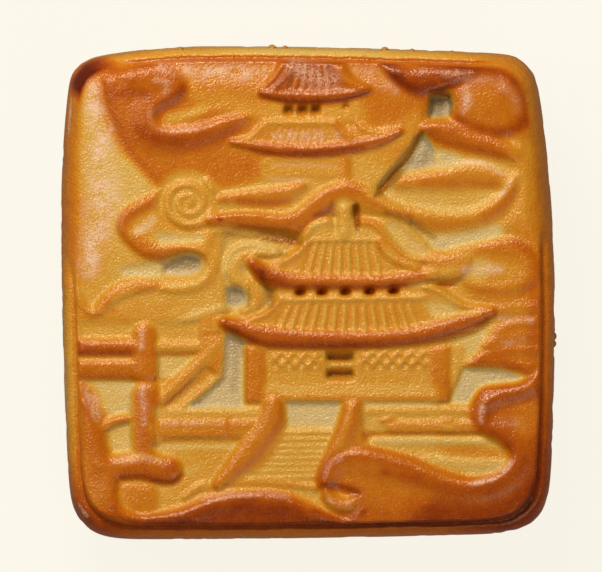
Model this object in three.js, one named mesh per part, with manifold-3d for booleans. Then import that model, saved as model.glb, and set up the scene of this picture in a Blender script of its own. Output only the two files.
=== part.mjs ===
// A square baked mooncake that rests on its flat base. A landscape is pressed into its
// face: a moon disc, clouds and a swirl, a small and a large pavilion, railings and stairs.
// Millimetres, +Z up, origin at the middle of the base, +Y towards the top of the landscape.
// Places on the face are [x, y]; levels are heights above the deepest floor of the relief.

import * as THREE from 'three';
import { mergeVertices } from 'three/addons/utils/BufferGeometryUtils.js';
import Module from 'manifold-3d';

const wasm = await Module();
wasm.setup();

// ---- driving dimensions of the cake ----
const HEIGHT = 32;
const HALF_WIDTH = 40;
const RELIEF = 3.5;
const FLOOR = HEIGHT - RELIEF;
const BURY = 1.5;
const CORNER_POWER = 12;
const CORNER_CROWDING = 0.5;
const WALL_SEGMENTS = 60;

// How far each side reaches, where along it that is, and how much it falls back by the
// corner before and after that place.
const SIDES = {
  left: { reach: 40, peak: 10, bow: [1.6, 3.6] },
  right: { reach: 40, peak: -6, bow: [2.7, 2.7] },
  top: { reach: 40, peak: -15, bow: [6, 1.1] },
  bottom: { reach: 40, peak: -24, bow: [4, 0.55] },
};

// Section of the wall, [distance from the middle, height]: rounded foot, bulging wall,
// crease under the pressed face, and the rounded edge of the face.
const WALL_SECTION = [
  [0, 0], [36.4, 0], [38.2, 1.3], [39.3, 4.5], [39.9, 10], [40, 16], [39.8, 22], [39.3, 26],
  [38.7, 28], [38.0, 28.6], [38.1, 29.4], [37.8, 30.5], [37.0, 31.3], [35.6, 31.8], [33, HEIGHT],
  [0, HEIGHT],
];

// Blobs of dough stuck to the wall, [x, y, z, radius].
const CRUMBS = [
  [-5.7, 39.4, 26, 0.8], [12.5, 39, 26, 0.6], [24, 38.6, 26, 0.6],
  [39.5, -7.2, 22, 0.8], [39.6, -8.4, 21.5, 0.6],
];

// ---- levels of the relief ----
const LEVEL = {
  slope: 0.9, sky: 1.15, bank: 1.8, rim: 1.5, moon: 1.8, wall: 1.7, pool: 1.1,
  roof: 2.6, ridge: 3.1, eave: 3.45, cloud: 2.7, crest: 3.0, rail: 2.6, border: 2.4,
};
const CHAMFER = 0.4;
const OUTLINE_PITCH = 3.4;
const ROLL_PITCH = 3;
const COIL_PITCH = 1.3;
const LATTICE_PITCH = 2;
const STUD_HEIGHT = 0.9;
const SKIRT_REACH = 1.45;
const BEYOND = 44;

// ---- helpers ----

/** Closed manifold solid from a closed geometry. */
function solid(geometry) {
  geometry.deleteAttribute('normal');
  geometry.deleteAttribute('uv');
  const merged = mergeVertices(geometry, 1e-4);
  const corners = merged.index.array;
  const kept = [];
  for (let i = 0; i < corners.length; i += 3) {
    const [a, b, c] = corners.slice(i, i + 3);
    if (a !== b && b !== c && c !== a) kept.push(a, b, c);
  }
  return new wasm.Manifold(new wasm.Mesh({
    numProp: 3,
    vertProperties: new Float32Array(merged.attributes.position.array),
    triVerts: new Uint32Array(kept),
  }));
}

/** Union of a list of solids. */
function join(solids) {
  return solids.reduce((whole, next) => whole.add(next));
}

/** Three.js geometry of a manifold solid. */
function geometryOf(manifold) {
  const mesh = manifold.getMesh();
  const geometry = new THREE.BufferGeometry();
  geometry.setAttribute('position', new THREE.BufferAttribute(mesh.vertProperties, 3));
  geometry.setIndex(new THREE.BufferAttribute(mesh.triVerts, 1));
  geometry.computeVertexNormals();
  return geometry;
}

/** Reach of a side at a place along it. */
function sideReach(side, along) {
  const away = (along - side.peak) / HALF_WIDTH;
  return side.reach - side.bow[away > 0 ? 1 : 0] * away * away;
}

/** Point of the cake's plan at an angle, on the ring that is radius wide at its bulge. */
function planPoint(angle, radius) {
  const turned = angle + (CORNER_CROWDING * Math.sin(4 * angle)) / 4;
  const [c, s] = [Math.cos(turned), Math.sin(turned)];
  const size = (Math.abs(c) ** CORNER_POWER + Math.abs(s) ** CORNER_POWER) ** (1 / CORNER_POWER);
  const [u, v] = [c / size, s / size];
  const across = sideReach(u > 0 ? SIDES.right : SIDES.left, v * HALF_WIDTH);
  const along = sideReach(v > 0 ? SIDES.top : SIDES.bottom, u * HALF_WIDTH);
  const share = radius / HALF_WIDTH;
  return [u * across * share, v * along * share];
}

/** The cake without its relief: the lathed section pushed out to the rounded square plan. */
function envelope() {
  const section = WALL_SECTION.map(([r, z]) => new THREE.Vector2(r, z));
  const geometry = new THREE.LatheGeometry(section, WALL_SEGMENTS);
  geometry.rotateX(Math.PI / 2);
  const place = geometry.attributes.position;
  for (let i = 0; i < place.count; i += 1) {
    const radius = Math.hypot(place.getX(i), place.getY(i));
    const [x, y] = planPoint(Math.atan2(place.getY(i), place.getX(i)), radius);
    place.setXY(i, x, y);
  }
  return solid(geometry);
}

/** Points evenly along a smooth curve through [x, y, radius] points. */
function smoothOutline(points) {
  const curve = new THREE.CatmullRomCurve3(points.map(([x, y]) => new THREE.Vector3(x, y, 0)), true);
  const spaced = curve.getSpacedPoints(Math.ceil(curve.getLength() / OUTLINE_PITCH));
  return spaced.slice(0, -1).map((p) => [p.x, p.y]);
}

/** Raised flat area with a chamfered edge, up to a level. */
function plate(points, level, chamfer = CHAMFER) {
  const shape = new THREE.Shape(points.map(([x, y]) => new THREE.Vector2(x, y)));
  const geometry = new THREE.ExtrudeGeometry(shape, {
    depth: level + BURY - 2 * chamfer,
    steps: 1,
    bevelThickness: chamfer,
    bevelSize: chamfer,
    bevelOffset: -chamfer,
    bevelSegments: 1,
  });
  geometry.translate(0, 0, FLOOR - BURY + chamfer);
  return solid(geometry);
}

/** Raised flat area whose outline is smooth. */
function softPlate(points, level, chamfer = CHAMFER) {
  return plate(smoothOutline(points), level, chamfer);
}

/**
 * Rounded ridge along a smooth line of [x, y, half width] points, from a foot to a crest: a
 * capsule that is bent along the line. Its underside is let straight down into the cake.
 */
function roll(points, foot, crest, sides = 8, pitch = ROLL_PITCH) {
  const curve = new THREE.CatmullRomCurve3(points.map((p) => new THREE.Vector3(...p)));
  const straight = points.length === 2;
  const steps = straight ? 1 : Math.ceil(curve.getLength() / pitch);
  const top = Math.sin((Math.round(sides / 4) * 2 * Math.PI) / sides);
  const geometry = new THREE.CapsuleGeometry(1, 1, 2, sides, steps);
  const place = geometry.attributes.position;
  for (let i = 0; i < place.count; i += 1) {
    const [side, along, up] = [place.getX(i), place.getY(i), place.getZ(i)];
    const share = THREE.MathUtils.clamp(along + 0.5, 0, 1);
    const below = up < -0.1;
    const reach = below ? SKIRT_REACH : 1;
    const beyond = Math.sign(along) * Math.max(Math.abs(along) - 0.5, 0) * reach;
    const middle = curve.getPointAt(share);
    const forward = curve.getTangentAt(share).setZ(0).normalize();
    const spread = below && Math.abs(side) > 0.1 ? Math.sign(side) * Math.hypot(side, up) : side;
    const width = middle.z * spread;
    const length = middle.z * beyond;
    const height = below ? -BURY : foot + (up / top) * (crest - foot);
    place.setXYZ(
      i,
      middle.x + forward.x * length + forward.y * width,
      middle.y + forward.y * length - forward.x * width,
      FLOOR + height,
    );
  }
  return solid(geometry);
}

/** Straight rounded bar between two places. */
function bar(from, to, halfWidth, crest, foot = crest - 1) {
  return roll([[...from, halfWidth], [...to, halfWidth]], foot, crest, 6);
}

/** Rectangle from its lower left to its upper right corner. */
function rectangle([x0, y0], [x1, y1]) {
  return [[x0, y0], [x1, y0], [x1, y1], [x0, y1]];
}

/** Sharp-edged hollow of a given size, cut down to a level. */
function hollow([x, y], [width, length], level = 0.3) {
  const geometry = new THREE.BoxGeometry(width, length, RELIEF);
  geometry.translate(x, y, FLOOR + level + RELIEF / 2);
  return solid(geometry);
}

/** Points on an arc, angles in degrees. */
function arc([x, y], radius, from, to, count) {
  return Array.from({ length: count + 1 }, (_, i) => {
    const angle = THREE.MathUtils.degToRad(from + ((to - from) * i) / count);
    return [x + radius * Math.cos(angle), y + radius * Math.sin(angle)];
  });
}

/** Tile ribs that fan out from a ridge down to an eave; each edge is [left x, right x, y]. */
function tileRibs(ridge, eave, count, level) {
  return Array.from({ length: count }, (_, i) => {
    const share = (i + 0.5) / count;
    const head = [THREE.MathUtils.lerp(ridge[0], ridge[1], share), ridge[2]];
    const foot = [THREE.MathUtils.lerp(eave[0], eave[1], share), eave[2]];
    const spacing = (eave[1] - eave[0]) / count;
    const length = Math.hypot(head[0] - foot[0], head[1] - foot[1]);
    const rib = new THREE.CylinderGeometry(spacing * 0.5, spacing * 0.5, length, 3);
    rib.rotateZ(Math.atan2(foot[0] - head[0], head[1] - foot[1]));
    rib.translate((head[0] + foot[0]) / 2, (head[1] + foot[1]) / 2, FLOOR + level - spacing * 0.5);
    return solid(rib);
  });
}

/** Field of small pyramids in a diagonal net. */
function latticeStuds([x0, y0], [x1, y1], pitch, level) {
  const studs = [];
  for (let row = 0, y = y0; y <= y1; row += 1, y += pitch / 2) {
    for (let x = x0 + (row % 2 ? pitch / 2 : 0); x <= x1; x += pitch) {
      const stud = new THREE.ConeGeometry(pitch / 2, STUD_HEIGHT, 4);
      stud.rotateX(Math.PI / 2);
      stud.translate(x, y, FLOOR + level);
      studs.push(solid(stud));
    }
  }
  return studs;
}

// ---- the landscape ----

/** Low ground that the motifs stand on: the sky at the left, banks at the right, the rim. */
function ground() {
  const outer = rectangle([-BEYOND, -BEYOND], [BEYOND, BEYOND]);
  const rimWidth = 3.4;
  const inner = HALF_WIDTH - rimWidth;
  const ring = plate(outer, LEVEL.rim).subtract(hollow([0, 0], [2 * inner, 2 * inner], -RELIEF / 2));
  return [
    ring,
    softPlate([[-BEYOND, 40], [-27, 40], [-18, 20], [-23, 13], [-27, 7], [-26, 2.5], [-31, 0],
      [-36, -3], [-BEYOND, -4]], LEVEL.sky),
    softPlate([[31, 30], [38, 34], [BEYOND, 20], [BEYOND, -6], [31, -4.6], [24.5, 0.3], [33, 0.4],
      [37, 5], [31, 10], [33.5, 16]], 1.7),
    softPlate([[-26, -24.6], [-11, -24.4], [-13, -30], [-15, -33], [-24, -36], [-29, -36],
      [-30, -31]], LEVEL.sky),
    softPlate([[9, -24.6], [24, -24.4], [30, -24.6], [32.2, -26.2], [26, -30],
      [14, -26.5]], LEVEL.pool),
  ];
}

/** Moon disc that runs off the top edge. */
function moon() {
  const disc = arc([-6.3, 37.3], 26.8, 180, 360, 30);
  return [plate([...disc, [20.5, BEYOND], [-33.1, BEYOND]], LEVEL.moon)];
}

/** Hooked cloud on the moon. */
function moonCloud() {
  return [
    roll([[-32.5, 34.6, 2.2], [-28, 34.7, 2.4], [-22.3, 33.3, 2.8], [-25.3, 30.6, 2.1],
      [-25.6, 28.4, 1.7], [-24, 26.7, 1.4], [-21, 26.2, 1.2], [-17.5, 26.9, 1],
      [-13, 28.3, 0.7]], LEVEL.moon - 0.4, LEVEL.crest),
  ];
}

/** Cloud banks between the moon and the right edge. */
function rightClouds() {
  return [
    softPlate([[13.2, 37.2], [16.2, 34.2], [18.5, 32.6], [22.8, 33], [23.6, 31], [22.6, 28.7],
      [18.4, 27.5], [18.6, 26.2], [26, 26], [31, 25.3], [35, 26.6], [36.2, 29.5], [35.4, 34],
      [32, 37.4], [22, 37.8]], LEVEL.border),
    roll([[15, 35.6, 0.8], [18, 33.8, 1], [22.5, 34.1, 1.2], [28, 35, 1.4]], 2, LEVEL.cloud, 6),
    roll([[34.4, 33, 1.2], [34.9, 29, 1.2], [32.5, 26.8, 1.1], [28, 27.2, 1]], 2, LEVEL.cloud, 6),
    roll([[18.9, 25.5, 0.9], [22, 25, 1.4], [26, 24, 1.7], [29.6, 22.7, 1.6],
      [31.8, 20.6, 1.1]], 1, 2.5),
    roll([[14.8, 18.4, 0.8], [19, 18.7, 1.1], [24, 19.5, 1.8], [28, 19.9, 1.7],
      [31.4, 21, 1.2]], 1, 2.2),
    softPlate([[12, 16], [20, 18.1], [31, 18.4], [32.5, 16.8], [30, 13], [22, 11.6], [14, 13]], 1.35),
    roll([[19.8, 7.3, 0.8], [25, 7.2, 1.2], [30, 7.2, 1.6], [33.4, 6.5, 1.9], [35, 4.2, 1.9],
      [33.6, 2.2, 1.6], [30, 1.5, 1.2], [24.8, 1.4, 0.7]], 1, 2.5),
    softPlate([[BEYOND, -1.8], [36.5, -2.6], [31, -5.4], [28.9, -8.3], [25.4, -11.2], [32, -11.8],
      [36, -13.6], [BEYOND, -14]], 2.1),
    roll([[37, -3.9, 1.2], [32.5, -5.9, 1.1], [30.4, -8.2, 1.1],
      [27.6, -10.2, 0.8]], 1.6, LEVEL.rail, 6),
  ];
}

/** Roof: plate with tile ribs, ridge beam, hips and an upturned eave. */
function roof({ outline, beam, ribs, hips, eave }) {
  return [
    plate(outline, LEVEL.roof - 0.4),
    bar(...beam, 0.5, LEVEL.ridge - 0.1),
    ...tileRibs(ribs.ridge, ribs.eave, ribs.count, LEVEL.roof + 0.15),
    ...hips.map((hip) => roll(hip, 2, LEVEL.ridge, 6)),
    roll(eave, 2.2, LEVEL.eave, 6),
  ];
}

/** Two-storeyed pavilion on the moon. */
function smallPavilion() {
  const upperRoof = roof({
    outline: [[-2.6, 38.6], [4.4, 38.6], [6.8, 34], [9.4, 32.6], [5, 31.4], [-4, 31.4],
      [-8.2, 32.6], [-5, 33.8]],
    beam: [[-2, 37.9], [3.8, 37.9]],
    ribs: { ridge: [-2.3, 3.7, 37.6], eave: [-4.2, 5.2, 32.6], count: 8 },
    hips: [[[-2.6, 37.6, 0.5], [-5, 34.6, 0.5], [-8.2, 33, 0.5]], [[4.2, 37.6, 0.5], [6, 34.2, 0.5],
      [9, 32.9, 0.5]]],
    eave: [[-8.2, 32.4, 0.5], [-4.5, 31.7, 0.8], [4, 31.7, 0.8], [9.4, 32.5, 0.5]],
  });
  const lowerRoof = roof({
    outline: [[-7, 28.3], [4.8, 28.3], [7.5, 26], [13, 26.2], [12, 23.6], [-8, 22.8], [-12.2, 24.4]],
    beam: [[-6.5, 27.9], [4.4, 27.9]],
    ribs: { ridge: [-5.6, 4.6, 27.6], eave: [-8.2, 6.2, 24.2], count: 11 },
    hips: [[[-6.8, 27.9, 0.5], [-8.6, 25.8, 0.5], [-11, 24.9, 0.4]], [[4.6, 27.8, 0.5],
      [6, 26, 0.5], [7.5, 24.9, 0.4]]],
    eave: [[-12.2, 24.4, 0.5], [-8, 23.4, 0.9], [4, 23.2, 1], [9, 23.9, 1.1], [12.4, 24.8, 1],
      [14.6, 26.5, 0.6]],
  });
  const windows = [-3.1, -0.8, 1.4, 6].map((x) => hollow([x, 29.7], [1.1, 1.3], 0.5));
  return [
    plate(rectangle([-5, 27], [6.8, 32]), 2.1).subtract(join(windows)),
    ...upperRoof,
    ...lowerRoof,
    plate(rectangle([-7.2, 17], [7.6, 24]), LEVEL.moon + 0.2),
    bar([6.4, 18], [6.4, 22.5], 1.1, 2.5),
    bar([-5, 18.8], [4.5, 18.8], 0.4, 2.4),
  ];
}

/** Spiral coil on a low disc. */
function swirl() {
  const middle = [-19.1, 14.4];
  const turns = 2.45;
  const [inner, outer] = [0.55, 4.35];
  const count = 26;
  const coil = Array.from({ length: count + 1 }, (_, i) => {
    const share = (i / count) ** 0.8;
    const angle = THREE.MathUtils.degToRad(70 - 360 * turns * (1 - share));
    const radius = THREE.MathUtils.lerp(inner, outer, share);
    return [middle[0] + radius * Math.cos(angle), middle[1] + radius * Math.sin(angle), 0.6];
  });
  return [
    plate(arc(middle, 4.9, 0, 345, 23), LEVEL.bank),
    roll(coil, LEVEL.bank - 0.3, LEVEL.cloud, 6, COIL_PITCH),
  ];
}

/** Cloud that winds from the swirl round a pit and out to the left edge. */
function windingCloud() {
  return [
    roll([[-22, 16.6, 1.2], [-25.8, 15.4, 1.5], [-28.2, 12.9, 1.8], [-28.4, 10.5, 2.2],
      [-26.2, 8.5, 2.5], [-22.5, 8.2, 2.4], [-19, 8.4, 1.7], [-16.2, 7.2, 1.5], [-15.1, 4.7, 1.6],
      [-16.6, 2.2, 1.8], [-21, 0.8, 1.7], [-26, 0.2, 1.9], [-30, -1, 2.2],
      [-33, -3.6, 2.4]], 0.9, 2.35),
    softPlate([[-BEYOND, 5], [-38.2, 3.2], [-37.2, 0], [-34.7, -3.1], [-33.4, -1.2], [-31.2, 0.4],
      [-21, 0], [-13.8, 1.5], [-13.4, -1.8], [-20.5, -4.6], [-28.5, -7],
      [-BEYOND, -7.5]], LEVEL.bank),
  ];
}

/** Long cloud under the small pavilion, from the swirl to the right edge. */
function longCloud() {
  return [
    roll([[-15, 14.6, 0.7], [-12, 15.3, 1], [-8.5, 15.8, 1.5], [-5, 16, 1.6],
      [-1.5, 15.5, 1.3]], 1.2, 2.4),
    roll([[-19, 9.9, 0.9], [-15.5, 11, 1.3], [-11, 12.1, 1.7], [-6, 11.6, 1.7], [-2.6, 12, 2],
      [0.8, 14, 2.5], [4.5, 15.9, 2.5], [8.5, 15.4, 2.4], [14, 13.3, 2.2], [20, 12.2, 2.3],
      [26, 12.4, 2], [30, 14.3, 1.5], [32.8, 17.4, 0.8]], 1, 2.6),
  ];
}

/** Two-roofed hall with its finial, windows, lattice screens and doorway. */
function hall() {
  const upperRoof = roof({
    outline: [[-0.6, 9.3], [2.6, 11.9], [15.2, 11.4], [19.2, 7.9], [26.6, 7], [24.6, 3.2],
      [14, 0.9], [-3, 0.9], [-9.3, 3.2], [-9.9, 5.2], [-4.6, 5]],
    beam: [[1.8, 11], [10.6, 11]],
    ribs: { ridge: [0.6, 11.2, 8.4], eave: [-2.8, 15, 2.8], count: 12 },
    hips: [[[2.2, 11.2, 0.5], [-1.2, 7, 0.6], [-4.8, 4.6, 0.6]], [[10.6, 11.2, 0.5], [14, 6.6, 0.6],
      [18.5, 4.4, 0.6]]],
    eave: [[-9.6, 4.6, 0.9], [-7.4, 3, 1.2], [-4, 1.9, 1.2], [2, 1.8, 1.1], [12, 1.9, 1.1],
      [18, 2.5, 1.2], [23.2, 3.6, 1.3], [26.4, 6.4, 0.7]],
  });
  const lowerRoof = roof({
    outline: [[-5, -0.9], [18.6, -0.9], [21.5, 0.8], [24, -1.4], [30, -2.7], [27, -6.2], [20, -8.2],
      [-5, -8.8], [-10.6, -7], [-14, -5], [-8.2, -3.8]],
    beam: [[-4.4, -1.2], [18.4, -1.2]],
    ribs: { ridge: [-4.8, 17.2, -1.6], eave: [-8.4, 21, -6.4], count: 17 },
    hips: [[[-4.6, -1.4, 0.5], [-6.4, -3.4, 0.6], [-9.4, -4.8, 0.6]], [[18.8, 0.7, 0.6],
      [21.2, 0.3, 0.6], [25.4, -2.5, 0.6], [29.4, -3.2, 0.6]]],
    eave: [[-13.6, -5, 0.6], [-11.4, -5.6, 0.9], [-8.6, -6.9, 1.3], [-4, -7.6, 1.3],
      [12, -7.7, 1.2], [19, -6.8, 1.3], [25, -5.2, 1.3], [29.2, -3.6, 0.7]],
  });
  const windows = [-1.2, 2.3, 6.2, 9.9, 13.9].map((x) => hollow([x, 0.2], [1.6, 1.2]));
  return [
    plate(rectangle([-5.2, -2], [20, 2]), 2.1).subtract(join(windows)),
    plate([[0.2, 8.4], [11.6, 8.4], [10.7, 11.6], [1.6, 11.6]], LEVEL.roof),
    bar([6, 10], [6.1, 13.4], 1.2, LEVEL.ridge + 0.1),
    ...upperRoof,
    ...lowerRoof,
  ];
}

/** Walls of the hall under its lower eave. */
function hallWalls() {
  const doorway = [hollow([5.2, -10.3], [4.2, 1]), hollow([5.3, -13.2], [4.2, 1])];
  const wall = plate([[-10.2, -8], [22.8, -8], [25.2, -11], [23.4, -17.2], [-10.2, -18.2]], 1.4);
  const screen = plate(rectangle([-6.4, -15], [19.8, -8]), LEVEL.wall, 0.15);
  return [
    wall.add(screen).subtract(join(doorway)),
    ...latticeStuds([-5.6, -12.2], [1.8, -9.9], LATTICE_PITCH, LEVEL.wall - 0.15),
    ...latticeStuds([9.2, -12.2], [19.2, -9.9], LATTICE_PITCH, LEVEL.wall - 0.15),
    ...[-8.3, 21.1].map((x) => plate(rectangle([x - 1.6, -17.8], [x + 1.6, -8]), 2.2)),
    plate(rectangle([-6.8, -17.7], [20, -15]), 2.1),
  ];
}

/** Scroll at the left end of the hall's upper eave. */
function scroll() {
  return [
    roll([[-4.8, 6.2, 0.9], [-7.5, 6.8, 1.1], [-10.4, 6.2, 1.3], [-11.9, 4.3, 1.4],
      [-11.3, 2.1, 1.5], [-9.4, 0.6, 1.5], [-8.4, -1.4, 1.3], [-10, -2.9, 0.7]], 0.6, 2.4, 6),
  ];
}

/** Fence at the left: rails, posts, a brace and the deck below it. */
function leftFence() {
  return [
    bar([-BEYOND, -8.6], [-18, -8.7], 1.25, LEVEL.rail, 1.6),
    bar([-BEYOND, -12.3], [-23, -12.3], 1.55, LEVEL.rail, 1.6),
    bar([-15.4, -8.4], [-22.8, -16], 1.3, 2.4),
    bar([-14.2, -13.2], [-19.2, -18.2], 1.2, 1.6),
    bar([-14.9, -5.4], [-14.9, -12.6], 1.5, 2.4),
    bar([-26.4, -7.4], [-26.3, -23], 1.7, LEVEL.crest),
    plate(rectangle([-25.2, -23.8], [-6.4, -18.4]), 1.5),
    bar([-24, -19.6], [-8, -19.6], 0.7, 2.2),
    bar([-24, -22.1], [-8.6, -22.1], 1, 2.4),
  ];
}

/** Stairway between two curved strings. */
function stairs() {
  const [top, foot] = [-22.9, -32];
  const tread = 1.75;
  const treads = [];
  for (let y = top, level = 1.5; y > foot; y -= tread, level -= 0.1) {
    const spread = top - y;
    const back = [[-3.6 - spread * 1.08, y], [4.2 - spread * 0.3, y]];
    treads.push(bar(...back, 0.55, level, 0.6));
  }
  return [
    plate([[-3.4, -22.6], [4.4, -22.6], [1.8, foot], [-13.5, foot]], LEVEL.slope, 0.2),
    ...treads,
    softPlate([[-7.2, -15.8], [-3.6, -17.6], [-3.8, -22.4], [-9.6, -29.6], [-14.4, -30.6],
      [-10.4, -23], [-6.6, -19]], 2.2),
    roll([[-5.4, -17.2, 0.8], [-5, -20.6, 1], [-7.6, -24, 1.1], [-10.6, -28, 1.1],
      [-13, -30, 0.9]], 1.8, LEVEL.rail, 6),
    softPlate([[5.6, -15.8], [8.8, -15.8], [9.2, -24], [11, -30], [4, -33], [1.6, -29.4],
      [4.2, -22]], 2.2),
    roll([[7, -17, 1.2], [6.6, -20, 1.1], [5.6, -23.6, 1.1], [3.6, -28.6, 1]], 1.8, LEVEL.cloud, 6),
  ];
}

/** Railing at the right, from the stairs to the edge cloud. */
function rightRailing() {
  return [
    plate(rectangle([9.2, -22.6], [27, -18.2]), 1.4),
    bar([13.6, -19.4], [26.6, -19.4], 0.7, 2.1),
    bar([13.6, -21.5], [27, -21.5], 0.95, 2.4),
    plate(rectangle([21.2, -22.5], [24, -20.4]), LEVEL.rail),
  ];
}

/** Dark banks along the bottom and both lower corners. */
function lowerBanks() {
  return [
    softPlate([[-BEYOND, -14.2], [-36.4, -14.6], [-33.8, -20.4], [-32.8, -24.8], [-29.8, -29],
      [-30, -34.6], [-26.4, -35.9], [-18.6, -33.9], [-12, -31.9], [-3.6, -32.1], [4, -35],
      [14, -35], [14, -BEYOND], [-BEYOND, -BEYOND]], LEVEL.border),
    roll([[-33.4, -22.2, 0.9], [-30.6, -20.4, 0.9], [-28, -20.1, 0.8]], 0.8, 2.3),
    roll([[-33, -27.8, 1.7], [-29.5, -28.5, 1.5], [-26, -28.5, 1.5], [-22.3, -28.9, 1.8]], 1.2, 2.9),
    roll([[-29, -36.4, 0.9], [-22, -36.2, 1.1], [-14, -33.2, 1.2], [-6, -32.9, 1.2],
      [2, -35, 1]], 2, 2.9),
    softPlate([[2.2, -30.8], [3, -27.4], [6.5, -25.6], [12, -26.2], [19.5, -29], [27, -30.6],
      [32.6, -28], [31.4, -23.8], [27.2, -21.6], [26.9, -17], [32, -15.2], [37.5, -12.3],
      [BEYOND, -11], [BEYOND, -BEYOND], [9, -BEYOND], [8, -35]], LEVEL.border),
    roll([[3.4, -29.6, 1.1], [5.6, -26.9, 1], [11, -27.2, 1.1], [19, -30.1, 1.2], [27, -31.8, 1.2],
      [33.4, -29.4, 1.2], [34, -26, 1.1], [31, -22.6, 1.3], [27.9, -19.6, 1.3], [29.6, -16.9, 1.4],
      [36, -14.8, 1.2]], 2, 3.05),
    softPlate([[2.4, -31.4], [7.8, -33.4], [7.6, -35.4], [2.8, -34]], 1.9),
  ];
}

// ---- assembly ----
const landscape = [
  ground, moon, moonCloud, rightClouds, smallPavilion, swirl, windingCloud, longCloud, hall, hallWalls,
  scroll, leftFence, stairs, rightRailing, lowerBanks,
].flatMap((motif) => motif());

const slab = new THREE.BoxGeometry(2 * BEYOND, 2 * BEYOND, FLOOR + 1);
slab.translate(0, 0, (FLOOR - 1) / 2);

const crumbs = CRUMBS.map(([x, y, z, radius]) => {
  const blob = new THREE.IcosahedronGeometry(radius, 1);
  blob.translate(x, y, z);
  return solid(blob);
});

const cake = envelope().intersect(join([solid(slab), ...landscape])).add(join(crumbs));

const crust = new THREE.MeshStandardMaterial({ color: '#c97d26', roughness: 0.42, metalness: 0 });
const mooncake = new THREE.Mesh(geometryOf(cake), crust);
mooncake.name = 'mooncake';

const group = new THREE.Group();
group.add(mooncake);

export default group;
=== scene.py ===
"""A square mooncake with an egg-washed crust and a pressed landscape of two pavilions.

The relief of the face is drawn motif by motif on a height raster, in millimetres above its
deepest floor. One closed mesh then takes its top from that raster and its bulging wall from
a section, and carries how far each place is baked as an attribute that the crust reads.
"""

import logging
import math
from collections.abc import Iterator, Mapping, Sequence
from dataclasses import dataclass, field
from enum import Enum
from typing import Any, Protocol

import bmesh
import bpy
import numpy as np
from mathutils import Matrix, Vector


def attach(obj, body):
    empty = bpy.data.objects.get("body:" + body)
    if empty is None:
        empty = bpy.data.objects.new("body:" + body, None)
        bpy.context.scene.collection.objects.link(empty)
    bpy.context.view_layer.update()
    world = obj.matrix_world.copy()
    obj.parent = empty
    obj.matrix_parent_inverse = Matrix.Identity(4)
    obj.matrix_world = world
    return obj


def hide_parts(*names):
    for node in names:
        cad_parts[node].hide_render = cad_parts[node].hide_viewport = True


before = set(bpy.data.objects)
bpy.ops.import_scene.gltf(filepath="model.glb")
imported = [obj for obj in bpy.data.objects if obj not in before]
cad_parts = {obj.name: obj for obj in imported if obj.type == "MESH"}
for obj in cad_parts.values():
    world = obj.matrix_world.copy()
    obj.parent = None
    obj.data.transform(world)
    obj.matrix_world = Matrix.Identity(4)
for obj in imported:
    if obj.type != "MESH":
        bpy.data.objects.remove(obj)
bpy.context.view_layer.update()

LOG = logging.getLogger("mooncake")
MM = 0.001
NODE = "mooncake"

Point = tuple[float, float]
Line = Sequence[tuple[float, ...]]
Outline = Sequence[Point]
Window = tuple[slice, slice]
Against = tuple[int, np.ndarray, np.ndarray, np.ndarray]


# ---- numbers on curves and rasters ----


def smooth_line(points: Sequence[Sequence[float]], closed: bool = False, step: float = 0.7) -> np.ndarray:
    """Samples a Catmull-Rom curve through points of any number of columns.

    Args:
        points: The points; the first two columns are the place.
        closed: Whether the curve returns to its first point.
        step: Longest distance between samples, in millimetres.

    Returns:
        The samples, one row each.
    """
    knots = np.asarray(points, float)
    count = len(knots)
    runs = []
    for i in range(count if closed else count - 1):
        b, c = knots[i], knots[(i + 1) % count]
        a = knots[(i - 1) % count] if closed or i > 0 else 2 * b - c
        d = knots[(i + 2) % count] if closed or i + 2 < count else 2 * c - b
        cuts = max(2, math.ceil(math.hypot(*(c - b)[:2]) / step))
        t = (np.arange(cuts) / cuts)[:, None]
        cubic = (2 * a - 5 * b + 4 * c - d) * t**2 + (3 * b - a - 3 * c + d) * t**3
        runs.append(0.5 * (2 * b + (c - a) * t + cubic))
    if not closed:
        runs.append(knots[-1:])
    return np.vstack(runs)


def ramp(values: np.ndarray, low: float, high: float) -> np.ndarray:
    """Smoothly rising share of the way from low to high."""
    t = np.clip((values - low) / (high - low), 0, 1)
    return t * t * (3 - 2 * t)


def arch(foot: float, crest: float, share: np.ndarray, fullness: float) -> np.ndarray:
    """Rounded section from its crest, where the share is 0, down to its foot, where it is 1."""
    return foot + (crest - foot) * np.maximum(1 - share**2, 0) ** fullness


def blurred(values: np.ndarray, sigma: float) -> np.ndarray:
    """Gaussian blur of a raster, sigma in cells."""
    reach = math.ceil(3 * sigma)
    kernel = np.exp(-0.5 * (np.arange(-reach, reach + 1) / sigma) ** 2)
    kernel /= kernel.sum()
    for axis in (0, 1):
        pad = [(reach, reach) if axis == k else (0, 0) for k in (0, 1)]
        wide = np.pad(values, pad, mode="edge")
        length = values.shape[axis]
        parts = [w * wide.take(range(i, i + length), axis=axis) for i, w in enumerate(kernel)]
        values = np.sum(parts, axis=0)
    return values


def arc(centre: Point, radius: float, start: float, end: float, count: int) -> list[Point]:
    """Points along an arc, angles in degrees."""
    angles = np.radians(np.linspace(start, end, count + 1))
    return [(centre[0] + radius * math.cos(a), centre[1] + radius * math.sin(a)) for a in angles]


def box_outline(low: Point, high: Point) -> list[Point]:
    """Corners of a rectangle from its lower left to its upper right."""
    return [low, (high[0], low[1]), high, (low[0], high[1])]


# ---- the relief ----


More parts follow.
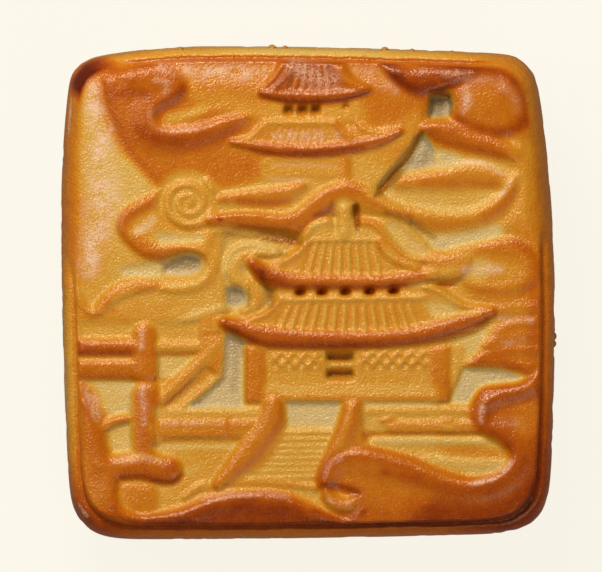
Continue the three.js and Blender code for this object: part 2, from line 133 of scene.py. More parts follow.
class Relief:
    """Height of the pressed face on a square raster, in millimetres above its deepest floor.

    Three more layers hold each cell's browning, painted sheen and painted shade.
    """

    def __init__(self, half: float = 41.0, cell: float = 0.17) -> None:
        self.half = half
        self.cell = cell
        self.count = round(2 * half / cell) + 1
        places = np.linspace(-half, half, self.count)
        self.x, self.y = np.meshgrid(places, places)
        self.height, self.bake, self.bloom, self.shade = (np.zeros(self.x.shape) for _ in range(4))

    def window(self, path: np.ndarray, margin: float) -> Window:
        """Part of the raster within a margin of a path, so that a motif touches only its own cells."""
        low = np.floor((path[:, :2].min(0) - margin + self.half) / self.cell).astype(int)
        high = np.ceil((path[:, :2].max(0) + margin + self.half) / self.cell).astype(int) + 1
        low, high = np.clip(low, 0, self.count), np.clip(high, 0, self.count)
        return slice(low[1], high[1]), slice(low[0], high[0])

    def pieces(self, window: Window, path: np.ndarray) -> Iterator[Against]:
        """Lays the cells against each straight piece of a path.

        Args:
            window: Part of the raster.
            path: The path's points, one row each.

        Yields:
            The piece's number, the cells' shares of the way along it, their distances and whether
            they lie on its left.
        """
        x, y = self.x[window], self.y[window]
        for k in range(len(path) - 1):
            (ax, ay), (dx, dy) = path[k][:2], (path[k + 1] - path[k])[:2]
            square = dx * dx + dy * dy
            if square >= 1e-12:
                t = np.clip(((x - ax) * dx + (y - ay) * dy) / square, 0, 1)
                yield k, t, np.hypot(x - ax - t * dx, y - ay - t * dy), dx * (y - ay) - dy * (x - ax) > 0

    def distance(self, window: Window, path: np.ndarray, widths: np.ndarray | None = None) -> np.ndarray:
        """Distance of each cell from a path, as a share of the path's half width where one is given."""
        nearest = np.full(self.x[window].shape, 1e9)
        for k, t, away, _ in self.pieces(window, path):
            if widths is not None:
                away = away / (widths[k] + t * (widths[k + 1] - widths[k]))
            np.minimum(nearest, away, out=nearest)
        return nearest

    def lopsided(self, window: Window, path: np.ndarray) -> np.ndarray:
        """Distance of each cell from a path, as a share of the path's width on the cell's own side."""
        nearest = np.full(self.x[window].shape, 1e9)
        share = nearest
        for k, t, away, left in self.pieces(window, path):
            on_left, on_right = (path[k][side] + t * (path[k + 1][side] - path[k][side]) for side in (2, 3))
            share = np.where(away < nearest, away / np.where(left, on_left, on_right), share)
            nearest = np.minimum(nearest, away)
        return share

    def depth_inside(self, window: Window, outline: np.ndarray) -> np.ndarray:
        """Distance inside a closed outline, negative outside it."""
        x, y = self.x[window], self.y[window]
        inside = np.zeros(x.shape, bool)
        for (ax, ay), (bx, by) in zip(outline, np.roll(outline, -1, axis=0)):
            if ay != by:
                inside ^= ((ay > y) != (by > y)) & (x < (bx - ax) * (y - ay) / (by - ay) + ax)
        away = self.distance(window, np.vstack([outline, outline[:1]]))
        return np.where(inside, away, -away)

    def stroke(self, line: Line, curved: bool = True) -> tuple[Window, np.ndarray]:
        """Cells round a line of (x, y, half width) points, and their distances as shares of the width."""
        path = smooth_line(line) if curved else np.asarray(line, float)
        window = self.window(path, path[:, 2].max() + 0.5)
        return window, self.distance(window, path, path[:, 2])

    def area(self, outline: Outline, margin: float, curved: bool = True) -> tuple[Window, np.ndarray]:
        """Cells in and round an outline, and how far inside it they lie."""
        path = smooth_line(outline, True) if curved else np.asarray(outline, float)
        window = self.window(path, margin)
        return window, self.depth_inside(window, path)

    def melt(self, window: Window, section: np.ndarray, inside: np.ndarray, blend: float) -> None:
        """Raises cells to a section where it stands above them, softly where the two meet."""
        before = self.height[window]
        t = np.clip(0.5 + 0.5 * (section - before) / blend, 0, 1)
        melted = before * (1 - t) + section * t + blend * t * (1 - t)
        self.height[window] = np.where(inside, np.maximum(melted, before), before)

    def brown(self, window: Window, share: np.ndarray, bake: float | None) -> None:
        """Brings a share of the browning of some cells to a value, unless there is none."""
        if bake is not None:
            self.bake[window] = self.bake[window] * (1 - share) + bake * share

    def soften(self, sigma: float) -> None:
        """Rounds every edge drawn so far, sigma in millimetres."""
        self.height = blurred(self.height, sigma / self.cell)
        self.bake = blurred(self.bake, 1.2 * sigma / self.cell)

    def sample(self, layer: np.ndarray, x: np.ndarray, y: np.ndarray) -> np.ndarray:
        """Values of a layer at places, interpolated between cells."""
        fx = np.clip((x + self.half) / self.cell, 0, self.count - 1.001)
        fy = np.clip((y + self.half) / self.cell, 0, self.count - 1.001)
        i, j = fx.astype(int), fy.astype(int)
        s, t = fx - i, fy - j
        low = layer[j, i] * (1 - s) + layer[j, i + 1] * s
        high = layer[j + 1, i] * (1 - s) + layer[j + 1, i + 1] * s
        return low * (1 - t) + high * t


FADE = 0.35  # share of a stroke's half width over which its browning sets in
CREST_FADE = 0.5  # the same for a crest
TINT_FADE = 0.9  # the same for a tint
TINT_PEAK = 0.85  # share of its tone that a tint of full strength takes
INSET = 0.3  # distance by which a plate's browning stays inside its edge, in millimetres


class Element(Protocol):
    """Anything that can be pressed into the relief."""

    def press(self, relief: Relief) -> None:
        """Changes the relief's layers."""


@dataclass(frozen=True)
class Plate:
    """Area brought to one level, up or down, with a soft edge.

    Attributes:
        outline: Its corners or curve points.
        level: Height of its middle.
        soft: Width over which its edge falls.
        bake: Browning of the area.
        curved: Whether the outline is a smooth curve.
        tilt: Rise per millimetre in x and y, and the place where the level holds.
    """

    outline: Outline
    level: float
    soft: float
    bake: float
    curved: bool = True
    tilt: tuple[float, float, float, float] = (0.0, 0.0, 0.0, 0.0)

    def press(self, relief: Relief) -> None:
        """Blends the level over what is already there."""
        window, depth = relief.area(self.outline, 2 + self.soft, self.curved)
        share = ramp(depth, -self.soft / 2, self.soft / 2)
        rise_x, rise_y, x, y = self.tilt
        top = self.level + rise_x * (relief.x[window] - x) + rise_y * (relief.y[window] - y)
        relief.height[window] = relief.height[window] * (1 - share) + top * share
        relief.brown(window, ramp(depth, -self.soft / 2 - INSET, self.soft / 2 - INSET), self.bake)


@dataclass(frozen=True)
class Stain:
    """Area baked to one tone, with a soft edge.

    Attributes:
        outline: Its curve points.
        bake: Browning of its middle.
        soft: Width over which it fades.
    """

    outline: Outline
    bake: float
    soft: float = 1.5

    def press(self, relief: Relief) -> None:
        """Browns the area and leaves its height."""
        window, depth = relief.area(self.outline, 2 + self.soft)
        relief.brown(window, ramp(depth, -self.soft / 2, self.soft / 2), self.bake)


@dataclass(frozen=True)
class Roll:
    """Rounded ridge along a line of (x, y, half width) points.

    Attributes:
        line: The points.
        foot: Height at its edges.
        crest: Height along its middle.
        fullness: Power of its section; smaller is squarer.
        blend: How softly it melts into what it crosses.
        curved: Whether the line is a smooth curve.
        bake: Browning of the ridge.
    """

    line: Line
    foot: float
    crest: float
    fullness: float = 0.7
    blend: float = 0.25
    curved: bool = True
    bake: float | None = None

    def press(self, relief: Relief) -> None:
        """Raises the ridge where it stands above what is already there."""
        window, share = relief.stroke(self.line, self.curved)
        relief.melt(window, arch(self.foot, self.crest, share, self.fullness), share < 1, self.blend)
        relief.brown(window, ramp(1 - share, 0, FADE), self.bake)


@dataclass(frozen=True)
class Crest(Roll):
    """Ridge along a line of (x, y, width to its left, width to its right) points.

    A narrow side is steep and a wide one falls gently, as in cloud that laps over cloud.
    """

    fullness: float = 0.8
    blend: float = 0.5

    def press(self, relief: Relief) -> None:
        """Raises the ridge where it stands above what is already there."""
        path = smooth_line(self.line)
        window = relief.window(path, path[:, 2:].max() + 1)
        share = relief.lopsided(window, path)
        relief.melt(window, arch(self.foot, self.crest, share, self.fullness), share < 1, self.blend)
        relief.brown(window, ramp(1 - share, 0, CREST_FADE), self.bake)


@dataclass(frozen=True)
class Mound:
    """Swollen area whose top rises from its outline as a cushion's does.

    Attributes:
        outline: Its curve points.
        foot: Height at its outline.
        crest: Height of its middle.
        width: Distance from the outline over which it rises.
        fullness: Power of its section; smaller is squarer.
        blend: How softly it melts into what it crosses.
        tilt: Rise per millimetre in x and y, and the place where the heights hold.
        bake: Browning of the area.
    """

    outline: Outline
    foot: float
    crest: float
    width: float = 2.0
    fullness: float = 0.6
    blend: float = 0.3
    tilt: tuple[float, float, float, float] = (0.0, 0.0, 0.0, 0.0)
    bake: float | None = None

    def press(self, relief: Relief) -> None:
        """Raises the mound where it stands above what is already there."""
        window, depth = relief.area(self.outline, 1)
        rise_x, rise_y, x, y = self.tilt
        section = arch(self.foot, self.crest, np.clip(1 - depth / self.width, 0, 1), self.fullness)
        section = section + rise_x * (relief.x[window] - x) + rise_y * (relief.y[window] - y)
        relief.melt(window, section, depth > 0, self.blend)
        relief.brown(window, ramp(depth, -0.1, 0.6), self.bake)


# Tints paint browning, and also painted shade under ridges and eaves and painted highlights along their tops.
@dataclass(frozen=True)
class Tint:
    """Stroke of one tone along a line of (x, y, half width) points, strongest along the line."""

    line: Line
    bake: float
    strength: float = 1.0

    def press(self, relief: Relief) -> None:
        """Browns the stroke and leaves its height."""
        window, share = relief.stroke(self.line)
        relief.brown(window, TINT_PEAK * self.strength * ramp(1 - share, 0, TINT_FADE), self.bake)


@dataclass(frozen=True)
class PaintedSheen:
    """Patch of painted sheen, pale glinting specks, along a line of (x, y, half width) points."""

    line: Line
    strength: float = 1.0

    def press(self, relief: Relief) -> None:
        """Raises the painted sheen of the patch."""
        self.raise_layer(relief, relief.bloom)

    def raise_layer(self, relief: Relief, layer: np.ndarray) -> None:
        """Brings one of the relief's layers up to the patch."""
        window, share = relief.stroke(self.line)
        layer[window] = np.maximum(layer[window], self.strength * ramp(1 - share, 0, 1))


@dataclass(frozen=True)
class Shade(PaintedSheen):
    """Patch of painted olive-brown shade, along a line of (x, y, half width) points."""

    def press(self, relief: Relief) -> None:
        """Raises the painted shade of the patch."""
        self.raise_layer(relief, relief.shade)


@dataclass(frozen=True)
class Groove:
    """Rounded channel cut along a line of (x, y, half width) points; its browning mostly paints shade into
    it.
    """

    line: Line
    depth: float
    curved: bool = True
    bake: float | None = None

    def press(self, relief: Relief) -> None:
        """Lowers the relief along the line."""
        window, share = relief.stroke(self.line, self.curved)
        relief.height[window] -= arch(0, self.depth, share, 1)
        relief.brown(window, ramp(1 - share, 0, FADE), self.bake)


@dataclass(frozen=True)
class Tiles:
    """Fluted tile field between a ridge and an eave.

    Attributes:
        eave: Left x, right x and y of its lower edge.
        ridge: Left x, right x and y of its upper edge.
        count: Number of ribs.
        height: Height of a rib over the furrow beside it.
        sunk: Share of that height that the furrows lie below the roof.
        furrow_shade: Painted shade that darkens the furrows.
        rib_highlight: Painted highlight that makes the ribs paler than the furrows.
        margin: Share of the field, along its slopes and its edges, over which the ribs set in.
    """

    eave: tuple[float, float, float]
    ridge: tuple[float, float, float]
    count: int
    height: float
    sunk: float = 0.4
    furrow_shade: float = 0.14
    rib_highlight: float = 0.42
    margin: Point = (0.06, 0.1)

    def press(self, relief: Relief) -> None:
        """Adds the ribs to the roof already there, with painted highlights on their crests and shade in the
        furrows.
        """
        corners = np.array([[self.eave[0], self.eave[2]], [self.eave[1], self.eave[2]],
                            [self.ridge[1], self.ridge[2]], [self.ridge[0], self.ridge[2]]])
        window = relief.window(corners, 1)
        t = (relief.y[window] - self.eave[2]) / (self.ridge[2] - self.eave[2])
        left = self.eave[0] + (self.ridge[0] - self.eave[0]) * t
        right = self.eave[1] + (self.ridge[1] - self.eave[1]) * t
        s = (relief.x[window] - left) / (right - left)
        rib = (0.5 + 0.5 * np.cos(2 * math.pi * self.count * s)) ** 2
        side, end = self.margin
        edge = ramp(s, 0, side) * ramp(1 - s, 0, side) * ramp(t, 0, end) * ramp(1 - t, 0, end)
        relief.height[window] += self.height * (rib - self.sunk) * edge
        # painted shade in the furrows and painted highlight on the ribs
        relief.bake[window] += (self.furrow_shade - self.rib_highlight * rib) * edge


@dataclass(frozen=True)
class Holes:
    """Square-cornered holes of one size, whose browning paints shade into them."""

    centres: Sequence[Point]
    size: Point
    depth: float
    soft: float = 0.25
    bake: float | None = None

    def press(self, relief: Relief) -> None:
        """Sinks each hole."""
        for x, y in self.centres:
            window = relief.window(np.array([[x, y]]), max(self.size))
            across = np.abs(relief.x[window] - x) - self.size[0] / 2
            along = np.abs(relief.y[window] - y) - self.size[1] / 2
            share = ramp(-np.maximum(across, along), -self.soft, self.soft)
            relief.height[window] -= self.depth * share
            relief.brown(window, share, self.bake)


@dataclass(frozen=True)
class Net:
    """Diagonal lattice of raised bars over a rectangle.

    Attributes:
        low: Its lower left corner.
        high: Its upper right corner.
        pitch: Distance between bars along x.
        height: Height of the bars.
        slope: How much flatter than 45 degrees they run.
        margin: Width of the edge over which they set in.
    """

    low: Point
    high: Point
    pitch: float = 2.1
    height: float = 0.62
    slope: float = 0.9
    margin: float = 0.4

    def press(self, relief: Relief) -> None:
        """Adds the bars to the panel that is already there."""
        window = relief.window(np.array([self.low, self.high]), 0.5)
        x, y = relief.x[window], relief.y[window]
        turn = 2 * math.pi / self.pitch
        bars = np.maximum(np.cos(turn * (x + self.slope * y)), np.cos(turn * (x - self.slope * y)))
        edge = 1.0
        for place, low, high in ((x, self.low[0], self.high[0]), (y, self.low[1], self.high[1])):
            edge = edge * ramp(place, low, low + self.margin) * ramp(-place, -high, self.margin - high)
        relief.height[window] += self.height * bars * edge


def beam(start: Point, end: Point, half_width: float, foot: float, crest: float, fullness: float = 0.5,
         bake: float | None = None) -> Roll:
    """Straight rounded bar between two places."""
    line = [(*start, half_width), (*end, half_width)]
    return Roll(line, foot, crest, fullness, curved=False, bake=bake)


def panel(low: Point, high: Point, level: float, soft: float, bake: float) -> Plate:
    """Rectangular plate."""
    return Plate(box_outline(low, high), level, soft, bake, curved=False)


Elements = Sequence[Element]


class Motif(Protocol):
    """Part of the landscape."""

    @property
    def elements(self) -> Elements:
        """What it presses into the relief, in order."""


# ---- the landscape ----

FAR = 42.0


@dataclass(frozen=True)
class Ground:
    """Low ground: the domed sky at the left, the bank at the right and the rim round the face."""

    low: float = 1.0
    sky: float = 1.5
    bank: float = 1.85
    rim: float = 1.7

    @property
    def elements(self) -> Elements:
        """The ground's areas."""
        return (
            panel((-FAR, -FAR), (FAR, FAR), self.rim, 0.6, 0.64),
            panel((-36.8, -36), (35.5, 36.5), self.low, 4, 0.46),
            Mound([(-39.6, 37), (-32, 38), (-22, 32), (-18, 20), (-22, 14), (-25, 7), (-23.6, 4), (-25, 2.4),
                (-30.4, 2.4), (-32.6, 0.2), (-34.6, -3.4), (-37, -1.2), (-39, 3), (-39.6, 12)], 1.1,
                self.sky, 5.5, 0.8, 0.6, (0.05, 0.004, -31, 15), bake=0.36),
            Stain([(-36.4, 33.6), (-33.8, 34), (-32.2, 29), (-30.6, 25), (-32, 19), (-36.6, 18),
                (-37.2, 24)], 0.34, 2),
            Stain([(-37.4, 14), (-33.6, 13), (-32.4, 8), (-33, 2), (-34.6, -1), (-37, -2)], 0.44, 2.4),
            Stain([(-30.6, 24), (-26.6, 19.8), (-26, 17), (-31, 14), (-33, 17), (-32, 22)], 0.27, 2),
            # painted sheen: pale glints over the domed sky
            PaintedSheen([(-34.6, 33.6, 1.6), (-34.6, 30, 2.4), (-33.4, 26, 3.2), (-33.6, 21, 3.8), (-33, 15, 4.4),
                (-34.4, 9, 3.6), (-35.4, 4, 2.6)], 1),
            Stain([(-36.4, 37), (-34, 38), (-33, 35.4), (-36, 33.6), (-37, 30), (-36.8, 14), (-37, 2),
                (-FAR, 2), (-FAR, 37)], 0.62, 1.4),
            Plate([(31.6, 27), (36, 33), (FAR, 36), (FAR, -14), (37, -12), (34, -5), (30, -2.6), (26, 0.2),
                (30, 0.6), (35, 0.6), (37.4, 3), (36.6, 7.5), (33, 9.6), (30, 10.6), (33, 14), (34, 18),
                (32, 22)], self.bank, 2.6, 0.58),
            Stain([(31, 11), (33, 16), (33.6, 23), (36, 23), (35.8, 15), (35, 11)], 0.46, 2.4),
        )


@dataclass(frozen=True)
class Moon:
    """Moon disc that runs off the top edge."""

    centre: Point = (-6.4, 37.2)
    radius: float = 26.7
    level: float = 2.0

    @property
    def elements(self) -> Elements:
        """The disc, darker by the cloud and paler where it nears the hall."""
        disc = arc(self.centre, self.radius, 180, 360, 48)
        return (
            Plate([*disc, (20.3, FAR), (-33.1, FAR)], self.level, 0.6, 0.64, curved=False,
                tilt=(0, 0.014, 0, 26)),
            Groove([(-33, 39.8, 6.6), (-16, 39.8, 6.6), (26, 39.4, 6.6)], 0.9, curved=False),
            Stain([(-19, 37), (-8, 37.4), (-8, 33), (-12, 31), (-17, 30.6), (-19.6, 33)], 0.5, 2.4),
            Stain([(-15, 30.6), (-6, 31), (8, 31), (9.4, 27), (14, 27.4), (18, 29.4), (18.4, 26), (15, 21),
                (11, 16.6), (4, 17.4), (-6, 18.6), (-7, 22), (6, 22.5), (9, 24.5), (4, 28), (-8, 28.2)],
                0.46, 2.4),
            Stain([(8, 21.6), (11, 21), (13.6, 20), (11, 17), (8.4, 18)], 0.36, 2),
            Stain([(-34, 38), (-33.6, 30), (-30, 23), (-27, 22), (-26, 26), (-27, 32), (-24, 37)], 0.72, 3),
            Stain([(-27, 24), (-14, 24), (-9, 22), (-9, 18.4), (-16, 16.4), (-22, 17.4), (-27, 20.6)], 0.66,
                3),
            Tint([(-32.5, 38, 0.9), (-32.4, 34, 0.9), (-31.8, 30, 0.9), (-30, 25, 0.9), (-27.2, 21, 0.8),
                (-24, 18, 0.6)], 0.78),
            # painted sheen on the moon's upper part
            PaintedSheen([(-24, 36.6, 1.2), (-20, 36.2, 1.8), (-15, 35.4, 2.4), (-10, 35.6, 2.2), (-6.4, 36, 1.4)],
                0.7),
            PaintedSheen([(8, 36, 1.4), (11, 34.8, 2), (14, 32.6, 1.4)], 0.35),
        )


@dataclass(frozen=True)
class MoonCloud:
    """Hooked cloud on the moon: the apron, the hook and the shaded side below its tail."""

    elements: Elements = (
        Mound([(-33.1, 38.4), (-28, 38.4), (-23, 37), (-20, 35.2), (-19.4, 33), (-20.4, 31.6), (-22.8, 30.6),
            (-24.2, 29.2), (-24.4, 27.6), (-22.4, 26), (-18.6, 25.8), (-14, 27), (-10.4, 28.2), (-9.6, 26.6),
            (-13, 24.4), (-18, 22.8), (-23, 22.2), (-27, 23), (-30, 26.2), (-32.2, 30.8)], 1.95, 2.5, 3.6,
            0.8, 0.5, bake=0.7),
        Crest([(-28.6, 34.8, 1.4, 1.6), (-27, 34.7, 2.2, 3.4), (-25, 34.5, 2.4, 4.2), (-22.8, 34, 2.4, 3.2),
            (-21.4, 33, 2.1, 2.6), (-22.2, 31.8, 1.6, 3), (-24.2, 30.7, 1.3, 3.4), (-25.6, 29.2, 1.3, 3.6),
            (-25.6, 27.5, 1.3, 3.4), (-24.1, 26.1, 1.2, 3), (-21.4, 25.7, 1.2, 2.8), (-17.4, 26.3, 1.1, 2.6),
            (-13.6, 27.6, 0.9, 2.2), (-10.4, 28.6, 0.5, 1.4)], 1.7, 3.05, 0.8, 0.7),
        Tint([(-29, 34.6, 0.8), (-25, 34.6, 1), (-22.6, 33.9, 1.1), (-23.4, 32.6, 0.9), (-25.2, 30.4, 0.9),
            (-25.4, 28, 0.8), (-23.4, 26.5, 0.7), (-19, 26.6, 0.7), (-14, 28.2, 0.7)], 0.66, 0.7),
        # painted shade under the hook
        Tint([(-19.8, 33.6, 0.9), (-20.5, 31.9, 1.6), (-22.3, 30.7, 1.9), (-23.8, 29.4, 1.6),
            (-24.1, 28, 1)], 0.87),
        Stain([(-19, 38), (-7, 38), (-7.4, 33.4), (-12, 32.6), (-18, 33.2)], 0.6, 1.4),
        # painted sheen
        PaintedSheen([(-17.4, 36, 1.4), (-13.6, 35.6, 2), (-10, 35.6, 1.8)], 0.9),
        # painted shade below the tail
        Tint([(-27.6, 26.6, 1.4), (-24.6, 24.8, 1.9), (-20, 24.2, 1.9), (-15.6, 25, 1.6), (-12, 26.4, 1.2)],
            0.82, 0.9),
        Roll([(-20, 28.3, 0.4), (-16.6, 29, 0.6), (-12.8, 29.9, 0.5)], 1.8, 2.3, 1, 0.3),
        Tint([(-22.6, 28.3, 0.9), (-20, 28.7, 1.1), (-16.6, 29.9, 1)], 0.26),
        Tint([(-32, 32.4, 1), (-28.6, 32.2, 1.3), (-25.6, 32, 1)], 0.84),
        # painted highlights along the hook's crest
        PaintedSheen([(-24.6, 34.4, 0.8), (-22.6, 33.8, 0.9), (-23, 32.2, 0.8)], 0.5),
        PaintedSheen([(-25.4, 30, 0.6), (-25.4, 27.8, 0.7), (-23.4, 26.4, 0.6), (-18, 26.6, 0.6)], 0.5),
    )


@dataclass(frozen=True)
class UpperRightCloud:
    """Domed cloud in the upper right corner, over a narrow slot.

    The wave at the left, the dome, its ring and the shaded sides.
    """

    elements: Elements = (
        Mound([(23.2, 33), (24.6, 35), (28, 36.8), (32, 36.8), (35.2, 34.6), (36.8, 31.4), (36.9, 28.4),
            (35.6, 26.6), (33.4, 25.5), (31, 24.9), (28.4, 25.4), (26, 26.4), (24, 27.6), (23.1, 28.6),
            (23.3, 30.4)], 1.7, 2.6, 2.2, 0.7, bake=0.78),
        Mound([(23.6, 32.6), (25.6, 34.2), (29, 35.2), (32.4, 34.4), (34.3, 32), (34.7, 29.6), (33.2, 27.4),
            (30.4, 26.5), (27, 27.4), (24.4, 28.8), (23.6, 30.6)], 2.3, 2.95, 5, 0.8, bake=0.66),
        Crest([(12.2, 38, 1, 1), (13.6, 36.2, 1.2, 1.4), (15.4, 34.9, 2, 1.9), (17.8, 34.1, 2.8, 2.4),
            (20.4, 34.2, 3, 1.9), (22.8, 34.7, 2.6, 1.6), (25, 35.4, 2.2, 1.4), (27.4, 36.1, 1.8, 1.2)], 1.7,
            3.1, 0.7, 0.5, bake=0.8),
        # groove darkened with painted shade
        Groove([(30.2, 35.9, 0.5), (32.8, 34.5, 0.6), (34.6, 32.2, 0.6), (35.1, 29.8, 0.5)], 0.35,
            bake=0.82),
        # painted shade under the wave
        Tint([(13.2, 35.4, 0.7), (15.6, 33.6, 1.2), (18, 32.4, 1.2), (20.6, 32.5, 1.1), (23, 33.2, 0.8),
            (25, 34.3, 0.6)], 0.95),
        # painted shade under the dome
        Tint([(23.8, 27.8, 0.7), (26.4, 27, 1.1), (29.4, 25.9, 1.3), (32.4, 25.9, 1.2), (35.2, 27.2, 1.1),
            (36.6, 29.4, 0.8)], 0.84),
        # painted highlight on the dome's left side
        Tint([(24.4, 32.6, 1), (25, 30.4, 1.2), (24.8, 28.8, 0.8)], 0.56, 0.8),
        Tint([(20, 36.9, 0.9), (27, 37.2, 0.8), (32, 36.6, 0.8)], 0.8, 0.8),
        Stain([(24.6, 32.4), (29, 33), (32.4, 31.6), (33, 28.8), (30, 27.4), (26, 28.2)], 0.62, 2),
        # painted sheen on the dome
        PaintedSheen([(25.6, 33, 1.2), (25.8, 31, 1.6), (25.2, 29.4, 1)], 0.7),
        PaintedSheen([(22, 35.4, 1), (26, 34.6, 1.2), (30, 34.2, 1.4), (33.2, 32, 1.4), (33.8, 29.6, 1.2)], 0.3),
    )


@dataclass(frozen=True)
class RightTongues:
    """Three cloud tongues between the upper right cloud and the hall.

    The tongues from the top down, with the valleys between them.
    """

    elements: Elements = (
        Plate([(18.2, 26), (19, 27.9), (23, 28.4), (26, 27), (30, 25.4), (33.5, 25.4), (34.4, 22),
            (30, 21.2), (26, 22), (22.4, 22.6), (20.2, 23.8)], 1.7, 1.6, 0.6),
        Crest([(18.8, 26.7, 0.9, 1.2), (20.8, 26.9, 1.2, 2.2), (23.6, 26.2, 1.5, 2.7),
            (26.4, 25.2, 1.7, 2.5), (29, 24.2, 1.8, 2.2), (31.4, 23.3, 1.8, 1.7), (33.4, 22.4, 1.4, 1.2)],
            1.3, 2.75, 0.75, 0.5, bake=0.64),
        Groove([(24, 26.2, 0.3), (27, 25.7, 0.4), (30, 25.2, 0.45), (32.8, 24.7, 0.5)], 0.3),
        # painted shade under the first tongue
        Tint([(19.6, 25.4, 0.6), (21.6, 24.3, 0.9), (24.8, 23.5, 1), (28, 22.8, 1), (31, 22.1, 0.8)], 0.8),
        # painted highlight along its top
        Tint([(19.4, 27.4, 0.7), (22, 27.7, 0.8), (25.4, 27.2, 0.7)], 0.52),
        Stain([(31.4, 25.4), (34, 25.6), (34.6, 22), (33.4, 19), (32, 20.4), (32.4, 23)], 0.5, 1.8),
        Plate([(15, 19.9), (20, 20.3), (21, 22.8), (26, 22), (31, 21), (33, 18.6), (32, 16.6), (30, 14),
            (23, 13), (16, 14), (11, 14), (13.4, 17)], 1.3, 1.4, 0.36),
        Crest([(14.8, 18.1, 0.7, 1.6), (18.6, 18.5, 0.8, 2.2), (22.2, 19.1, 1, 2.8), (25.6, 19.8, 1.3, 3.2),
            (28.4, 19.6, 1.4, 2.8), (30.8, 18.6, 1.2, 2), (32.8, 17.2, 0.9, 1.2)], 1.15, 2.2, 0.7, 0.6,
            bake=0.5),
        # painted sheen on the second tongue
        PaintedSheen([(23.6, 20.9, 0.5), (27, 21.2, 0.8), (30, 20.2, 0.9), (31.6, 19.2, 0.6)], 0.9),
        # painted shade under the second tongue
        Tint([(18.6, 17.6, 0.7), (22, 17.5, 1.1), (25.6, 17.5, 1.4), (29, 17.5, 1.3), (31.8, 17, 0.9)],
            0.66),
        # painted highlight on its upper side
        Tint([(20.6, 20.9, 0.7), (23, 20.8, 0.9), (26, 21.1, 0.7), (28.6, 20.8, 0.6)], 0.15),
        Crest([(9.4, 15, 1.8, 2.6), (13, 14.1, 1.2, 2.6), (17.4, 13.1, 1, 2.8), (21.6, 12.5, 1, 3.2),
            (25.4, 12.5, 1.1, 3.2), (28.6, 13.4, 1.1, 2.8), (30.8, 14.9, 1.1, 2.4), (32.4, 16.8, 1, 1.8),
            (33.4, 18.8, 0.7, 1.2)], 0.95, 2.3, 0.7, 0.6, bake=0.44),
        # painted sheen on the third tongue's end
        PaintedSheen([(30.4, 15.4, 0.5), (32, 16.8, 0.7), (33, 18.6, 0.5)], 0.9),
        # painted shade under the third tongue
        Tint([(14.6, 12.6, 0.8), (18, 11.5, 1.2), (22, 10.9, 1.5), (26, 11.2, 1.4), (29.6, 12.3, 1.4),
            (32.2, 14.4, 1.2), (33.8, 17.2, 0.9)], 0.6),
        Tint([(28, 12.6, 0.6), (31, 14, 0.8), (33.2, 16.6, 0.8)], 0.7),
        # painted highlight along its top
        Tint([(14, 14.9, 0.6), (18, 14, 0.8), (22, 13.4, 0.9), (26, 13.5, 0.8), (29, 14.8, 0.7),
            (31.2, 16.6, 0.6), (32.4, 18.2, 0.4)], 0.22),
    )


